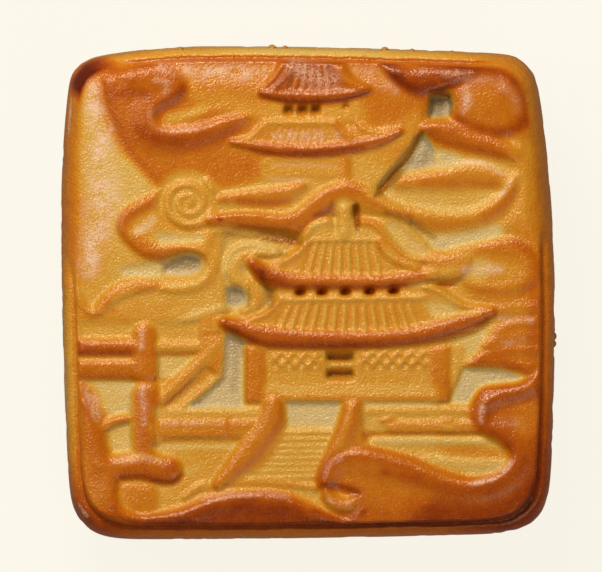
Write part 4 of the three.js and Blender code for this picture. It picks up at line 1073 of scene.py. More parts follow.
@dataclass(frozen=True)
class Hall:
    """Two-roofed hall with its finial and windows.

    Attributes:
        upper_roof: Roof under the finial.
        lower_roof: Wide roof over the walls.
        elements: The upper roof, the window beam and the lower roof.
    """

    upper_roof: Elements = (
        Plate([(-1, 8.9), (0.4, 10.9), (2, 11.9), (10.4, 12), (13.4, 11.9), (15.6, 11), (18.6, 8.4),
            (20, 6.9), (24, 6.4), (26, 7.1), (27, 6.8), (26.3, 5.2), (24.6, 3.2), (22.6, 1.9), (20.4, 1.6),
            (14, 0.9), (-3, 0.9), (-6.8, 1.6), (-9, 3.2), (-9.5, 5.4), (-7.2, 5.1), (-4.6, 5.6), (-2.2, 7)],
            2.15, 0.9, 0.46, curved=False),
        Plate([(0.4, 8.5), (11.4, 8.5), (10.6, 11.4), (4.4, 11.6), (1.8, 11.3)], 2.35, 0.8, 0.36,
            curved=False),
        Roll([(-0.4, 9.2, 0.6), (1, 10.9, 0.7), (3.2, 11.6, 0.6)], 2.2, 2.8, bake=0.32),
        Roll([(8.4, 11.4, 0.6), (10.4, 11.2, 0.7), (12, 9.9, 0.8), (13.4, 8.4, 0.8), (15.2, 6.6, 0.8),
            (17.6, 5.4, 0.7), (20.6, 5.2, 0.6)], 2.15, 2.8, 0.9, bake=0.52),
        Plate([(12.6, 11.2), (14.6, 10.9), (16.6, 9.2), (18.8, 7.4), (19.6, 6.4), (17, 6), (14.8, 7.6),
            (13.2, 9.6)], 1.8, 0.9, 0.3),
        # painted sheen
        PaintedSheen([(17, 8, 0.6), (18.6, 7, 0.5)], 0.5),
        Roll([(12.8, 11.8, 0.4), (15.2, 11.2, 0.5), (17, 9.6, 0.5), (18.9, 7.8, 0.4)], 1.8, 2.2, 1,
            bake=0.32),
        Tint([(13.4, 12.7, 0.7), (16, 11.7, 0.9), (18, 10, 1), (20, 8.6, 0.8)], 0.36, 0.9),
        # painted shade beside the roof and the finial
        Shade([(12.6, 13, 0.8), (15.6, 12.2, 1.3), (18, 10.6, 1.4), (20.4, 9, 0.9)], 0.8),
        Shade([(1.2, 12.6, 0.6), (3.2, 13.2, 0.8), (3.9, 14.6, 0.7)], 0.8),
        beam((0.6, 8.5), (11.8, 8.5), 0.3, 2.3, 2.7, 0.8),
        Tiles((-1.6, 13.2, 2.9), (0.2, 11.6, 8.3), 9, 0.72),
        Roll([(0.2, 8.4, 0.6), (-1.4, 6.6, 0.7), (-4.4, 4.7, 0.7)], 2, 2.65, 0.9, bake=0.44),
        Roll([(11.4, 8.6, 0.7), (12.6, 6.8, 0.9), (14.4, 5.2, 0.9), (17.6, 4, 0.8)], 2, 2.9, 0.8, bake=0.5),
        # painted highlight on the right slope
        Tint([(12.2, 7.4, 0.5), (13.6, 5.8, 0.6)], 0.2, 0.9),
        Crest([(-9, 4.9, 1, 1), (-7.6, 3.7, 1.4, 1.6), (-5.6, 2.6, 1.7, 1.8), (-2, 2, 1.5, 1.5),
            (4, 1.9, 1.3, 1.4), (12, 1.9, 1.3, 1.3), (17, 2.5, 1.4, 1.3), (20.6, 3.1, 1.2, 1.1)], 1.8, 3.1,
            0.5, 0.3, bake=0.64),
        Tint([(-9.2, 5.1, 0.8), (-7.6, 3.9, 1.2), (-5.6, 2.8, 1.4), (-3, 2.4, 1.1)], 0.74),
        Tint([(-3, 2.4, 0.9), (4, 2.2, 0.8), (12, 2.2, 0.8), (18, 3, 0.8)], 0.62),
        # painted shade under the upper eave
        Tint([(-9, 4, 0.7), (-7.4, 2.6, 1), (-5, 1.5, 0.9), (-2, 1.1, 0.7), (4, 1, 0.6), (12, 1, 0.6),
            (16, 1.5, 0.6)], 0.86),
        Mound([(19, 5.4), (22, 6.5), (25, 6.9), (26.8, 5.8), (26.4, 3.4), (24, 2), (21, 1.9), (18.8, 2.6)],
            1.7, 2.85, 1.7, 0.7, bake=0.44),
        Tint([(18.4, 5, 0.4), (21.6, 5, 0.5), (24.8, 5.6, 0.5)], 0.62),
        # painted highlight in the loop and painted sheen under it
        Tint([(21.4, 3.4, 0.5), (23.8, 3.8, 0.6)], 0.22, 0.8),
        Tint([(17.4, 1.3, 0.5), (20, 1, 0.5)], 0.16, 0.8),
        Groove([(21.2, 1.4, 0.4), (23.4, 1.3, 0.4)], 0.4, bake=0.85),
        beam((5.9, 9.4), (6, 13.5), 1.25, 2, 2.9, 0.7),
        Stain(box_outline((4.6, 9), (7.4, 14.6)), 0.34, 0.8),
        Groove([(4.35, 10, 0.35), (4.3, 12.2, 0.4)], 1, curved=False, bake=0.4),
        # painted shade in the groove right of the finial
        Groove([(8.1, 10.4, 0.25), (7.8, 13.8, 0.5)], 1.4, curved=False, bake=0.9),
        Shade([(8.1, 10, 0.5), (7.9, 12, 0.8), (7.8, 14, 0.9)], 1.2),
        *[Groove([(5.2, y, 0.16), (6.8, y, 0.16)], 0.25, curved=False) for y in (10.6, 11.6, 12.6)],
    )
    lower_roof: Elements = (
        Plate([(-4.4, -0.6), (18.4, -0.6), (19.6, 1), (21.5, 0.8), (24, -1.2), (27, -2.2), (30.2, -2.4),
            (29.8, -4.2), (27, -6.2), (24, -7.2), (20, -8.2), (14, -8.9), (-5, -9), (-8.4, -8.7),
            (-10.6, -7.2), (-14, -5.8), (-14.2, -4), (-11, -3.8), (-8.2, -3.4), (-6, -2.2)], 2.15, 0.8, 0.48,
            curved=False),
        Plate([(19.6, -1.4), (22, -1.6), (24.4, -3), (22.6, -3.8), (19.8, -3.2)], 1.8, 0.9, 0.26),
        Roll([(-4.4, -1, 0.5), (6, -0.9, 0.5), (18.6, -0.7, 0.5)], 2.1, 2.65, 0.6, 0.2, bake=0.34),
        Tiles((-6.4, 19.6, -6.1), (-4.2, 17.6, -1.7), 15, 0.72),
        Roll([(-4.6, -1.2, 0.5), (-6.4, -3.2, 0.6), (-9.6, -4.6, 0.6)], 2, 2.65, 0.9, bake=0.46),
        Roll([(18.8, 0.9, 0.5), (21.2, 0.4, 0.6), (23.2, -0.9, 0.6), (25.4, -2.1, 0.6), (29.8, -2.6, 0.6)],
            2, 2.7, 0.9, bake=0.4),
        Crest([(-13.6, -4.7, 1, 1), (-11.4, -5.5, 1.3, 1.3), (-8.6, -6.3, 1.5, 1.8), (-4, -7, 1.6, 2),
            (4, -7.3, 1.4, 1.7), (12, -7.2, 1.4, 1.6), (18, -6.5, 1.5, 1.7), (23, -5.3, 1.5, 1.6),
            (27, -3.9, 1.3, 1.4), (29.8, -2.9, 0.8, 0.9)], 1.8, 3.15, 0.5, 0.3, bake=0.66),
        Tint([(-13.4, -4.8, 0.8), (-11, -5.7, 1.1), (-8, -6.4, 1.3), (-4, -6.8, 1.2), (4, -7, 1)], 0.7),
        # painted shade under the lower eave
        Tint([(-13.4, -5.6, 0.5), (-10.6, -6.8, 0.7), (-8, -8, 0.9), (-4, -8.3, 1), (4, -8.4, 0.9),
            (12, -8.2, 0.9), (19, -7.4, 0.8), (25, -5.9, 0.7), (29, -4.3, 0.6)], 0.87),
        # painted highlights along the right hip
        Tint([(24.8, -3.3, 0.4), (27.4, -3.4, 0.4)], 0.14, 0.9),
        Tint([(21, -0.2, 0.3), (24, -1.8, 0.35)], 0.16, 0.8),
    )
    elements: Elements = (
        panel((-5.2, -1.8), (19, 1.6), 2, 0.6, 0.46),
        *upper_roof,
        # window holes darkened with painted shade
        Holes([(-1.2, 0.15), (2.3, 0.15), (6.1, 0.2), (10, 0.3), (13.9, 0.4)], (1.35, 1.05), 2.6, 0.2,
            bake=1.15),
        *lower_roof,
    )


@dataclass(frozen=True)
class HallWalls:
    """Walls, lattice screens and doorway under the hall's lower eave, from the back forwards."""

    elements: Elements = (
        Plate([(-13.2, -6.2), (-10, -6.2), (-10, -18.4), (-19.4, -18.4), (-17, -16.6), (-13.6, -13.6)], 0.3,
            0.8, 0.12, curved=False),
        # painted shade in the gap beside the hall
        Shade([(-11.8, -6.4, 1.8), (-11.8, -9.4, 1.5), (-11.7, -12.6, 1.3), (-12.2, -15.6, 1)], 0.4),
        Shade([(-12.2, -6.4, 1.2), (-10.9, -7.4, 0.8), (-10.6, -10, 0.5)], 0.6),
        Plate([(24.9, -12.1), (31, -12.3), (34.6, -13.4), (33.6, -14.5), (30, -14.6), (28, -15.4),
            (26.6, -17), (26.2, -18.4), (20.6, -18.4), (22.6, -16.8), (24, -14.4)], 0.45, 0.9, 0.14,
            curved=False),
        Plate([(-10.2, -8.6), (22.8, -8.2), (25, -8.6), (25.2, -11.6), (24, -14.6), (22.8, -17),
            (20.6, -17.8), (-10.2, -18)], 1.35, 0.7, 0.4, curved=False),
        Tint([(23.8, -8.4, 0.9), (24, -11, 1), (23.4, -14, 0.8)], 0.36),
        panel((-6.6, -15.2), (19.8, -8.8), 1.6, 0.5, 0.43),
        Net((-6, -12.4), (2.2, -9.4)),
        Net((8.4, -12.2), (19.4, -9.2)),
        *[panel((x - 1.5, -17.6), (x + 1.5, -8.6), 1.95, 0.7, 0.58) for x in (-8.4, 21.3)],
        Tint([(-7.8, -9.4, 0.6), (-7.6, -12.5, 0.7), (-7.8, -16, 0.6)], 0.66, 0.7),
        panel((-6.8, -17.6), (20.4, -15), 1.75, 0.7, 0.4),
        beam((-6.8, -16.8), (20.6, -16.8), 0.7, 1.7, 2.05, 0.8, 0.48),
        # painted highlight along the plinth
        Tint([(-6, -15.6, 0.5), (8, -15.5, 0.5), (19, -15.6, 0.5)], 0.3),
        panel((3, -14), (7.4, -9.5), 1, 0.4, 0.36),
        # door slits darkened with painted shade
        Holes([(5.2, -10.3), (5.2, -13.1)], (4, 1.3), 1.9, 0.2, bake=0.74),
        Shade([(3.6, -10.4, 1), (6.8, -10.4, 1)], 0.9),
        Shade([(3.6, -13.1, 1), (6.8, -13.1, 1)], 0.9),
        Shade([(3.6, -11.7, 0.9), (6.8, -11.7, 0.9)], 0.3),
        Tint([(-10, -9.2, 0.5), (6, -9.2, 0.5), (22, -8.6, 0.5)], 0.62, 0.8),
    )


@dataclass(frozen=True)
class LeftFence:
    """Rails, posts and braces at the left, and the deck below them.

    Attributes:
        upper: Rails, posts and braces over their pale windows.
        deck: Deck with its three boards, and the slope under it.
        elements: The fence and the deck.
    """

    upper: Elements = (
        panel((-37, -14.2), (-13.2, -4.8), 1.3, 1.6, 0.42),
        Plate([(-36.6, -14.4), (-28, -14.4), (-28, -19.8), (-30.4, -20.2), (-33, -21.2), (-35, -18)], 0.85,
            1.6, 0.24),
        Tint([(-35.8, -15.2, 0.5), (-34.4, -17.4, 0.9), (-33, -19.4, 0.9), (-31.4, -20, 0.6)], 0.36),
        Plate([(-28, -20.6), (-30.4, -20.9), (-32.2, -22.2), (-33, -24), (-32, -25.8), (-30, -26.9),
            (-27, -26.9)], 0.8, 1.2, 0.32),
        Plate([(-24.6, -10.1), (-18.4, -10.1), (-21, -13.6), (-24.6, -13.6)], 0.95, 0.7, 0.28, curved=False),
        Crest([(-38, -8.7, 1.6, 1.8), (-32, -8.7, 1.6, 1.8), (-27, -8.7, 1.6, 1.8)], 1, 2.6, 0.5, 0.3,
            bake=0.72),
        Crest([(-38, -11.6, 1, 2.5), (-30, -11.6, 1, 2.5), (-26.4, -11.7, 1, 2.4)], 1, 2.35, 0.5, 0.3,
            bake=0.62),
        Groove([(-25, -14, 0.25), (-21.8, -14, 0.25)], 0.3, curved=False, bake=0.7),
        # painted shade under the two rails and a painted highlight on the upper one
        Tint([(-37.6, -9.7, 0.7), (-33, -9.7, 0.7), (-28, -9.7, 0.7)], 0.86),
        Tint([(-37.6, -13.4, 0.9), (-33, -13.5, 0.9), (-27, -13.6, 0.8)], 0.74),
        Tint([(-35.4, -8, 0.5), (-29, -8, 0.5)], 0.52),
        beam((-25, -8.7), (-17, -8.7), 1.1, 1.1, 2, 0.5, 0.42),
        # painted shade under the short rail
        Tint([(-24.4, -9.9, 0.4), (-21, -9.9, 0.4), (-17.6, -9.8, 0.4)], 0.78),
        Plate([(-17.2, -4.2), (-13.4, -4.4), (-13.4, -12.8), (-15.6, -12.4), (-17.2, -9.8)], 2, 0.8, 0.48),
        Groove([(-16.8, -6.8, 0.25), (-13.6, -6.5, 0.25)], 0.35, curved=False, bake=0.66),
        Crest([(-14.6, -8.4, 1.2, 1.2), (-17.2, -11.2, 1.2, 1.4), (-20, -13.9, 1.2, 1.5),
            (-23.6, -17.2, 1.2, 1.4)], 1, 2.2, 0.5, 0.3, bake=0.46),
        Crest([(-13.9, -13, 1.6, 0.8), (-16.6, -15.6, 1.6, 0.9), (-20, -18.4, 1.4, 0.9)], 0.7, 1.75, 0.5,
            0.3, bake=0.38),
        # painted shade along the braces' lower edge
        Tint([(-14.2, -10.8, 0.6), (-17.4, -13.6, 0.6), (-20.6, -16, 0.6), (-23.6, -18.4, 0.5)], 0.64),
        Crest([(-26.4, -6.6, 2.1, 2.1), (-26.4, -9, 2.3, 2.3), (-26.3, -12.6, 2.3, 2.3)], 1.1, 2.6, 0.4, 0.3,
            bake=0.6),
        Crest([(-26.1, -16.6, 2.6, 2.6), (-26, -20, 2.8, 2.8), (-26, -26, 2.4, 2.4)], 1.1, 2.75, 0.45, 0.3,
            bake=0.66),
        # painted sheen on the post
        PaintedSheen([(-26.8, -6, 0.8), (-26.8, -8.6, 0.9)], 0.7),
        PaintedSheen([(-26.6, -15.4, 1), (-26.4, -18, 1.2), (-26.4, -21, 0.9)], 0.7),
        # painted shade along the post's right side
        Tint([(-24.9, -6, 0.5), (-24.6, -14, 0.5), (-24.3, -25, 0.6)], 0.74, 0.8),
        Groove([(-28.2, -14.1, 0.3), (-24.6, -14.1, 0.3)], 0.2, curved=False, bake=0.7),
    )
    deck: Elements = (
        panel((-24.6, -23.9), (-7, -18.4), 1.45, 0.6, 0.48),
        beam((-24.4, -19.3), (-7.6, -19.3), 0.9, 1.4, 1.75, 0.5, 0.36),
        beam((-24.4, -21.9), (-7.5, -21.9), 1.75, 1.4, 2.2, 0.45, 0.54),
        Groove([(-24.4, -22.1, 0.3), (-19, -21.9, 0.35), (-8, -22.2, 0.3)], 0.16),
        # painted sheen on the main board
        PaintedSheen([(-23, -21.2, 0.7), (-18, -21, 0.8), (-13.6, -21.2, 0.6)], 0.4),
        Groove([(-12.7, -20.4, 0.35), (-12.7, -23.4, 0.35)], 0.4, bake=0.66),
        Groove([(-20.2, -20.6, 0.3), (-20.2, -21.8, 0.3)], 0.25, bake=0.6),
        # painted shade under the deck
        Tint([(-24.2, -23.9, 0.4), (-18, -23.8, 0.4), (-11.6, -23.8, 0.4)], 0.72),
        Plate([(-24.2, -24.2), (-11, -24.1), (-12, -30), (-15, -33), (-22, -35.8), (-25, -33), (-20, -30),
            (-19.8, -27.6), (-24, -26.2)], 1.15, 1.4, 0.45),
        # painted highlight along the slope's top
        Tint([(-24, -24.9, 0.5), (-18, -24.8, 0.5), (-12, -24.8, 0.5)], 0.14),
        Roll([(-14.2, -28.6, 0.5), (-15, -30.4, 0.5), (-16.6, -31.6, 0.5)], 1.1, 1.6, 1, 0.4, bake=0.4),
        # painted highlight
        Tint([(-20, -28.8, 0.7), (-17.8, -28.4, 0.6)], 0.28),
    )
    elements: Elements = (*upper, *deck)


@dataclass(frozen=True)
class Stairs:
    """Stairway between two curved strings.

    Attributes:
        top: Upper end of the flight.
        foot: Lower end of the flight.
        treads: Places of the treads' edges.
    """

    top: float = -21.6
    foot: float = -32.0
    treads: Sequence[float] = (-22.6, -23.7, -24.8, -25.8, -26.8, -27.8, -28.8, -29.8)

    @property
    def elements(self) -> Elements:
        """The landing, the flight and its strings."""
        steps: list[Element] = []
        for y in self.treads:
            spread = self.top - y
            left, right = -0.85 * spread, 4 - 0.3 * spread
            edge = [(-3.6 + left, y, 0.45), (right, y + 0.15, 0.45)]
            under = [(-3.4 + left, y - 0.5, 0.3), (right, y - 0.35, 0.3)]
            # each tread carries painted shade under its edge
            steps += [Roll(edge, 0.95, 1.6, 0.8, 0.2, curved=False), Tint(under, 0.5, 0.8)]
        return (
            panel((-3.7, -22.6), (5.6, -17.7), 0.8, 0.6, 0.14),
            Plate([(-3.8, self.top), (4.6, self.top), (1.4, self.foot), (-14, self.foot)], 1, 1.2, 0.34,
                curved=False),
            *steps,
            Roll([(-13, -30.6, 0.8), (-8, -30.5, 0.9), (-3, -30.8, 0.9), (1.4, -31.4, 0.8)], 0.9, 1.7, 0.9,
                0.4, bake=0.48),
            Plate([(-7.4, -16.8), (-5.4, -16.1), (-3.8, -17), (-3.5, -20.6), (-4.3, -23.2), (-6.2, -26.2),
                (-8.5, -28.5), (-11, -29.8), (-13.6, -30.8), (-15.6, -31.4), (-14.2, -29.4), (-12.6, -27),
                (-11.2, -24.6), (-9.2, -22), (-7.8, -19.6)], 1.7, 1, 0.52, curved=False),
            Crest([(-5.6, -18, 1.8, 1.8), (-5.9, -19.8, 2.2, 2.1), (-7.1, -22.1, 2.5, 2.1),
                (-9, -24.5, 2.5, 2.1), (-10.9, -26.8, 2.3, 1.9), (-12.7, -28.9, 1.8, 1.5),
                (-14.6, -30.8, 1.2, 1)], 1, 2.6, 0.55, 0.4, bake=0.54),
            # painted shade on the left string's right slope
            Tint([(-4.4, -17.6, 0.8), (-4.4, -20, 0.9), (-5.4, -22.6, 1), (-7.4, -25.4, 1.1),
                (-9.4, -27.6, 1.1), (-11.4, -29, 0.8)], 0.66),
            Plate([(5.7, -17.2), (8.8, -17.2), (9.1, -20), (9.2, -24), (9.6, -25.6), (6, -27), (3, -31),
                (1.7, -31.6), (1.4, -29.2), (2.8, -26.2), (4.1, -23), (5.1, -20), (5.6, -17.8)], 2, 1.1,
                0.56, curved=False),
            Crest([(7.1, -18.6, 1.9, 1.3), (6.3, -21.2, 2.3, 1.4), (5, -24, 2.4, 1.4),
                (3.8, -26.6, 2.4, 1.4), (2.8, -28.8, 2, 1.3), (2.5, -30.8, 1.5, 1)], 1.4, 2.75, 0.6, 0.5,
                bake=0.58),
            # painted highlight along the right string
            Tint([(7, -17.4, 0.6), (6.5, -20.6, 0.5), (5, -24.6, 0.5), (3.6, -27.2, 0.5), (2.7, -29, 0.4)],
                0.3, 0.8),
        )


@dataclass(frozen=True)
class RightRailing:
    """Railing from the stairs to the edge cloud, and the slope below it."""

    elements: Elements = (
        Plate([(9, -18), (26.6, -18), (28, -22.8), (9, -22.8)], 1.3, 0.6, 0.38, curved=False),
        Tint([(9.6, -18, 0.5), (14, -18, 0.5), (20, -18, 0.5)], 0.14),
        beam((9.6, -19.1), (26.8, -19.1), 0.8, 1.3, 1.65, 0.6, 0.4),
        beam((13.6, -21.6), (27.4, -21.6), 1.2, 1.3, 1.95, 0.5, 0.48),
        Roll([(12, -20.6, 0.6), (13.4, -20.4, 0.7)], 1.3, 1.9, 0.8, bake=0.5),
        panel((21.4, -22.7), (23.4, -20.2), 2, 0.6, 0.5),
        # painted highlight on the block
        Tint([(22.2, -21.4, 0.5), (23.2, -21.6, 0.5)], 0.22),
        Groove([(13.4, -20.6, 0.3), (13.3, -22.4, 0.3)], 0.3, curved=False, bake=0.5),
        # painted shade along the railing's lower edge
        Groove([(9, -22.9, 0.35), (14, -22.8, 0.3), (22, -22.8, 0.3), (28, -22.8, 0.35)], 0.35, bake=0.74),
        Tint([(9.4, -22.6, 0.5), (9.5, -23.4, 0.5)], 0.85),
        Plate([(8.6, -24.4), (14, -23.3), (24, -23.3), (30, -23.8), (32.4, -26), (31.8, -28.6), (28, -30.2),
            (23, -29.4), (18, -27.4), (13, -26), (9, -25.6)], 1.05, 1.4, 0.4),
        # painted highlight on the roll
        Roll([(11, -23.9, 0.7), (20, -23.8, 0.8), (28.4, -24, 0.7)], 1, 1.4, 1, 0.4, bake=0.22),
        Crest([(19, -26.6, 0.7, 1.2), (25, -27.3, 0.8, 1.4), (31, -27.2, 0.7, 1.2)], 0.9, 1.35, 1, 0.4,
            bake=0.3),
        # painted shade across the slope, then a painted highlight lower down
        Stain([(21, -24.8), (29, -24.8), (32, -26), (30.6, -26.6), (24, -26.2)], 0.56, 1.2),
        Tint([(26, -29, 0.7), (29, -28.6, 0.8), (31.4, -27.6, 0.7)], 0.2, 0.9),
    )


@dataclass(frozen=True)
class LowerLeftBank:
    """Dark bank round the lower left corner and along the bottom, with its blunt branch.

    The bank, the low lobe inside it and the branches.
    """

    elements: Elements = (
        Plate([(-FAR, -14.2), (-36.8, -14.6), (-34.9, -17.2), (-33.1, -20), (-32.8, -22.4), (-32.9, -24.4),
            (-32, -26.6), (-30.8, -28.6), (-30.6, -31.4), (-30.4, -34.2), (-28.4, -36), (-25, -35.8),
            (-21.4, -35), (-18.4, -33.8), (-15.4, -32.4), (-9, -31.7), (-3.8, -32.1), (-1.6, -33.2),
            (0.6, -34.4), (4, -36.4), (9, -37), (14, -35), (14, -FAR), (-FAR, -FAR)], 2.2, 2.2, 0.74),
        Crest([(-36.2, -17.6, 0.5, 0.8), (-35.3, -20, 1.1, 1.8), (-34.6, -22.2, 1.5, 2.6),
            (-34.2, -24, 1.6, 3.2), (-33.2, -26.8, 1.5, 3.6), (-31.9, -29.6, 1.4, 4), (-31.8, -32.6, 1.4, 4),
            (-30.7, -35.1, 1.4, 3.4), (-27.6, -36.9, 1.5, 2.4), (-24, -36.7, 1.5, 2.4),
            (-20, -35.8, 1.4, 2.8), (-16, -34.2, 1.5, 3.4), (-12, -33.3, 1.5, 3.8), (-8, -33.1, 1.5, 4),
            (-4, -33.5, 1.4, 3.8), (-1, -34.6, 1.3, 3), (2, -36.2, 1.2, 2), (5, -37.4, 0.8, 1.2)], 0.9, 2.9,
            0.7, 0.5),
        Mound([(-30.4, -30.7), (-27, -30.3), (-24.6, -31), (-24, -33.4), (-24.8, -35.4), (-28, -35.9),
            (-30.6, -34.6)], 1.2, 1.85, 2.2, 0.7, bake=0.6),
        Crest([(-33.6, -22.2, 0.9, 1), (-32, -21, 0.9, 1), (-30, -20.3, 0.8, 0.9), (-28, -20.1, 0.7, 0.8)],
            0.9, 2.1, 0.7, 0.4, bake=0.56),
        Crest([(-33.4, -27.9, 1.8, 1.8), (-30.6, -28.1, 2.3, 2.1), (-27, -27.9, 2.6, 2.4),
            (-24.2, -28.3, 2.5, 2.5), (-22.4, -28.5, 2.3, 2.3)], 1, 2.85, 0.5, 0.4, bake=0.68),
        # painted highlight on the hump, painted shade under the branch and painted highlights on its top
        Tint([(-29, -26.8, 0.6), (-26.6, -26.1, 0.8), (-24, -26.9, 0.6)], 0.5),
        Tint([(-30.6, -30, 0.6), (-27, -29.6, 0.7), (-24, -30.4, 0.7), (-21.4, -30.4, 0.7),
            (-20.2, -29.3, 0.5)], 0.9),
        Tint([(-32.6, -26, 0.4), (-30.6, -27.2, 0.5), (-28.4, -27.2, 0.4), (-26.4, -26.3, 0.5),
            (-23.6, -27.2, 0.5)], 0.4, 0.8),
        Tint([(-23.4, -31.6, 0.7), (-22, -33, 0.8)], 0.46),
        Roll([(-20, -33, 0.5), (-18.4, -31.8, 0.7), (-16.6, -30.8, 0.6)], 1.1, 1.9, 1, 0.3, bake=0.42),
        # painted highlight along the bank's upper edge
        Tint([(-24, -35.2, 0.5), (-20, -34.4, 0.5), (-16, -32.8, 0.6), (-12, -31.9, 0.6), (-8, -31.7, 0.6),
            (-4, -32.1, 0.6), (-1, -33.2, 0.5), (1, -34.4, 0.4)], 0.52),
        Stain([(-31, -37.4), (-27, -37.4), (-20, -36.2), (-14, -34.2), (-8, -33.9), (-2, -34.8), (2, -37),
            (14, -38), (14, -FAR), (-34, -FAR), (-36, -34)], 0.88, 2.2),
        Stain([(-29, -38), (-10, -37), (14, -37.4), (14, -FAR), (-34, -FAR)], 0.94, 1.4),
        Stain([(-37.6, -14.4), (-34.8, -15), (-33.4, -18), (-33, -22), (-34, -25), (-36.4, -24),
            (-37.6, -20)], 0.62, 2),
        Stain([(-38.4, -22), (-33.4, -22), (-31.4, -28), (-31, -33), (-34, -35), (-38, -32)], 0.64, 2.4),
        # painted sheen
        PaintedSheen([(-35.6, -15.4, 1.2), (-34.6, -17.6, 1.6), (-34, -20, 1.2)], 0.8),
        PaintedSheen([(-31, -27.4, 0.8), (-28.6, -26.9, 1), (-26.4, -26.6, 1), (-23.4, -27.6, 0.8)], 0.55),
        PaintedSheen([(-17, -33.2, 0.7), (-12, -32.4, 0.9), (-7, -32.2, 0.8), (-3, -32.8, 0.7)], 0.4),
    )


@dataclass(frozen=True)
class LowerRightBank:
    """Dark bank round the lower right corner, with its crest, hook and curled head.

    The bank and the long crest along its upper side, then the hook and the head.
    """

    elements: Elements = (
        Plate([(1.8, -31), (2, -28.8), (4.2, -26.2), (7, -25.2), (9, -24.6), (13, -25.5), (17, -26.6),
            (21, -28.3), (25, -29.6), (28, -29.9), (31, -29.1), (32.6, -27.5), (32.7, -26), (31.4, -24),
            (29.4, -22.8), (27.2, -22), (26.2, -19.6), (27, -16.8), (28.6, -15.3), (32, -14.8), (35, -14.2),
            (37.2, -12.8), (FAR, -11), (FAR, -FAR), (9, -FAR), (7, -37), (8.4, -33.6), (5, -31.8)], 2.2, 1.4,
            0.74),
        Crest([(2.8, -30.6, 1.1, 2.4), (3.6, -28.2, 1.3, 3), (5.4, -26.6, 1.4, 3.6), (8.4, -26.2, 1.5, 4.2),
            (12, -26.9, 1.5, 4.6), (16.6, -28.2, 1.5, 4.6), (20.8, -29.9, 1.5, 4.2), (25, -31.1, 1.5, 3.8),
            (29, -30.9, 1.5, 3.8), (32, -29.4, 1.5, 3.8), (33.7, -27, 1.5, 3.6), (33.2, -24.9, 1.4, 3.4),
            (31, -23, 1.3, 3), (28.9, -21.8, 1.4, 2.8), (28.1, -19.8, 1.6, 2.6), (28.7, -17.9, 1.6, 2.6),
            (30.8, -16.6, 1.6, 2.6), (34, -15.8, 1.5, 2.6), (36.8, -14.5, 1.4, 2.4), (39.6, -12, 1, 2)], 0.9,
            2.95, 0.6, 0.5),
        # painted shade under the hook's crest
        Tint([(27.6, -21.2, 1), (27.4, -18.6, 1), (29, -16.6, 1), (32, -15.8, 1), (35.4, -15.2, 1),
            (38, -13.2, 0.9)], 0.68),
        Tint([(5.6, -25.7, 0.6), (9, -25.6, 0.9), (13, -26.4, 1.1), (17, -27.6, 1.1), (21, -29.2, 1.1),
            (25, -30.4, 0.9), (28, -30.6, 0.6)], 0.6),
        Stain([(3, -29.6), (5.6, -27.2), (10, -27), (15, -28.4), (22, -31.6), (20, -33), (12, -32),
            (6, -30.6)], 0.64, 1.6),
        # painted shade below the long crest, in the groove and under the hook
        Tint([(12, -28.8, 0.9), (16, -29.8, 1.3), (20, -31.2, 1.4), (25, -32.3, 1.3), (29, -32, 1.3),
            (33.4, -29.8, 1.2), (35.4, -26.6, 1.1)], 0.8, 0.8),
        Groove([(29.3, -20.6, 0.9), (29.8, -19, 1), (31.6, -18, 1), (34.6, -17.3, 1), (37.6, -15.9, 0.9)],
            0.22, bake=0.78),
        Tint([(29.4, -22.3, 0.6), (31.6, -23.6, 0.8), (33, -25.4, 0.8)], 0.82),
        Stain([(33, -18.8), (37, -18.2), (37.4, -22.6), (34.4, -22.4)], 0.64, 1.8),
        Stain([(9.6, -30.4), (14.6, -31.4), (17, -33), (14, -35), (9.8, -34.4), (8.8, -32)], 0.66, 2.4),
        Stain([(20, -33.8), (27, -34), (33, -32), (36, -28), (37.6, -22), (FAR, -20), (FAR, -FAR),
            (14, -FAR), (17, -36.6)], 0.9, 3.4),
        Stain([(12, -38), (30, -37.6), (35, -34.6), (37, -30), (FAR, -30), (FAR, -FAR), (10, -FAR)], 0.97,
            2.6),
        Roll([(2.9, -31.3, 0.8), (3.3, -32.8, 1.2), (4.6, -33.9, 1.4), (6.4, -34.3, 1.3), (7.8, -33.5, 1.1)],
            1.6, 2.65, 0.8, 0.4, bake=0.6),
        # painted shade under the curled head and below it, with a painted highlight on it
        Groove([(2.2, -31.3, 0.5), (4.4, -31.3, 0.6), (6.6, -31.8, 0.6), (8.2, -32.6, 0.5)], 0.5, bake=0.88),
        Tint([(1, -35, 0.7), (3.6, -35.8, 0.8), (6.4, -36.2, 0.9), (9, -35.4, 0.9)], 0.9),
        Tint([(3, -32.4, 0.5), (4, -33.6, 0.5)], 0.4, 0.9),
        # painted sheen
        PaintedSheen([(2.8, -29.6, 0.6), (3.6, -27.8, 0.8), (5.4, -26.6, 0.8)], 0.4),
        PaintedSheen([(28, -20.6, 0.8), (28.2, -18.6, 1)], 0.6),
        PaintedSheen([(26.4, -30.8, 0.6), (29.4, -29.9, 0.8), (32, -28.2, 0.9), (32.8, -27, 0.5)], 0.8),
        PaintedSheen([(31.6, -20.4, 1.2), (34, -21, 1.4)], 0.4),
        PaintedSheen([(3.4, -33.4, 0.7), (4.6, -34.2, 0.8), (6.6, -34, 0.6)], 0.5),
        *[Groove([(19 + 2 * k, -33.4 - 0.9 * k, 0.35), (27, -34 - 0.8 * k, 0.4), (33.4, -31.8 - k, 0.35)],
            0.14) for k in range(4)],
    )


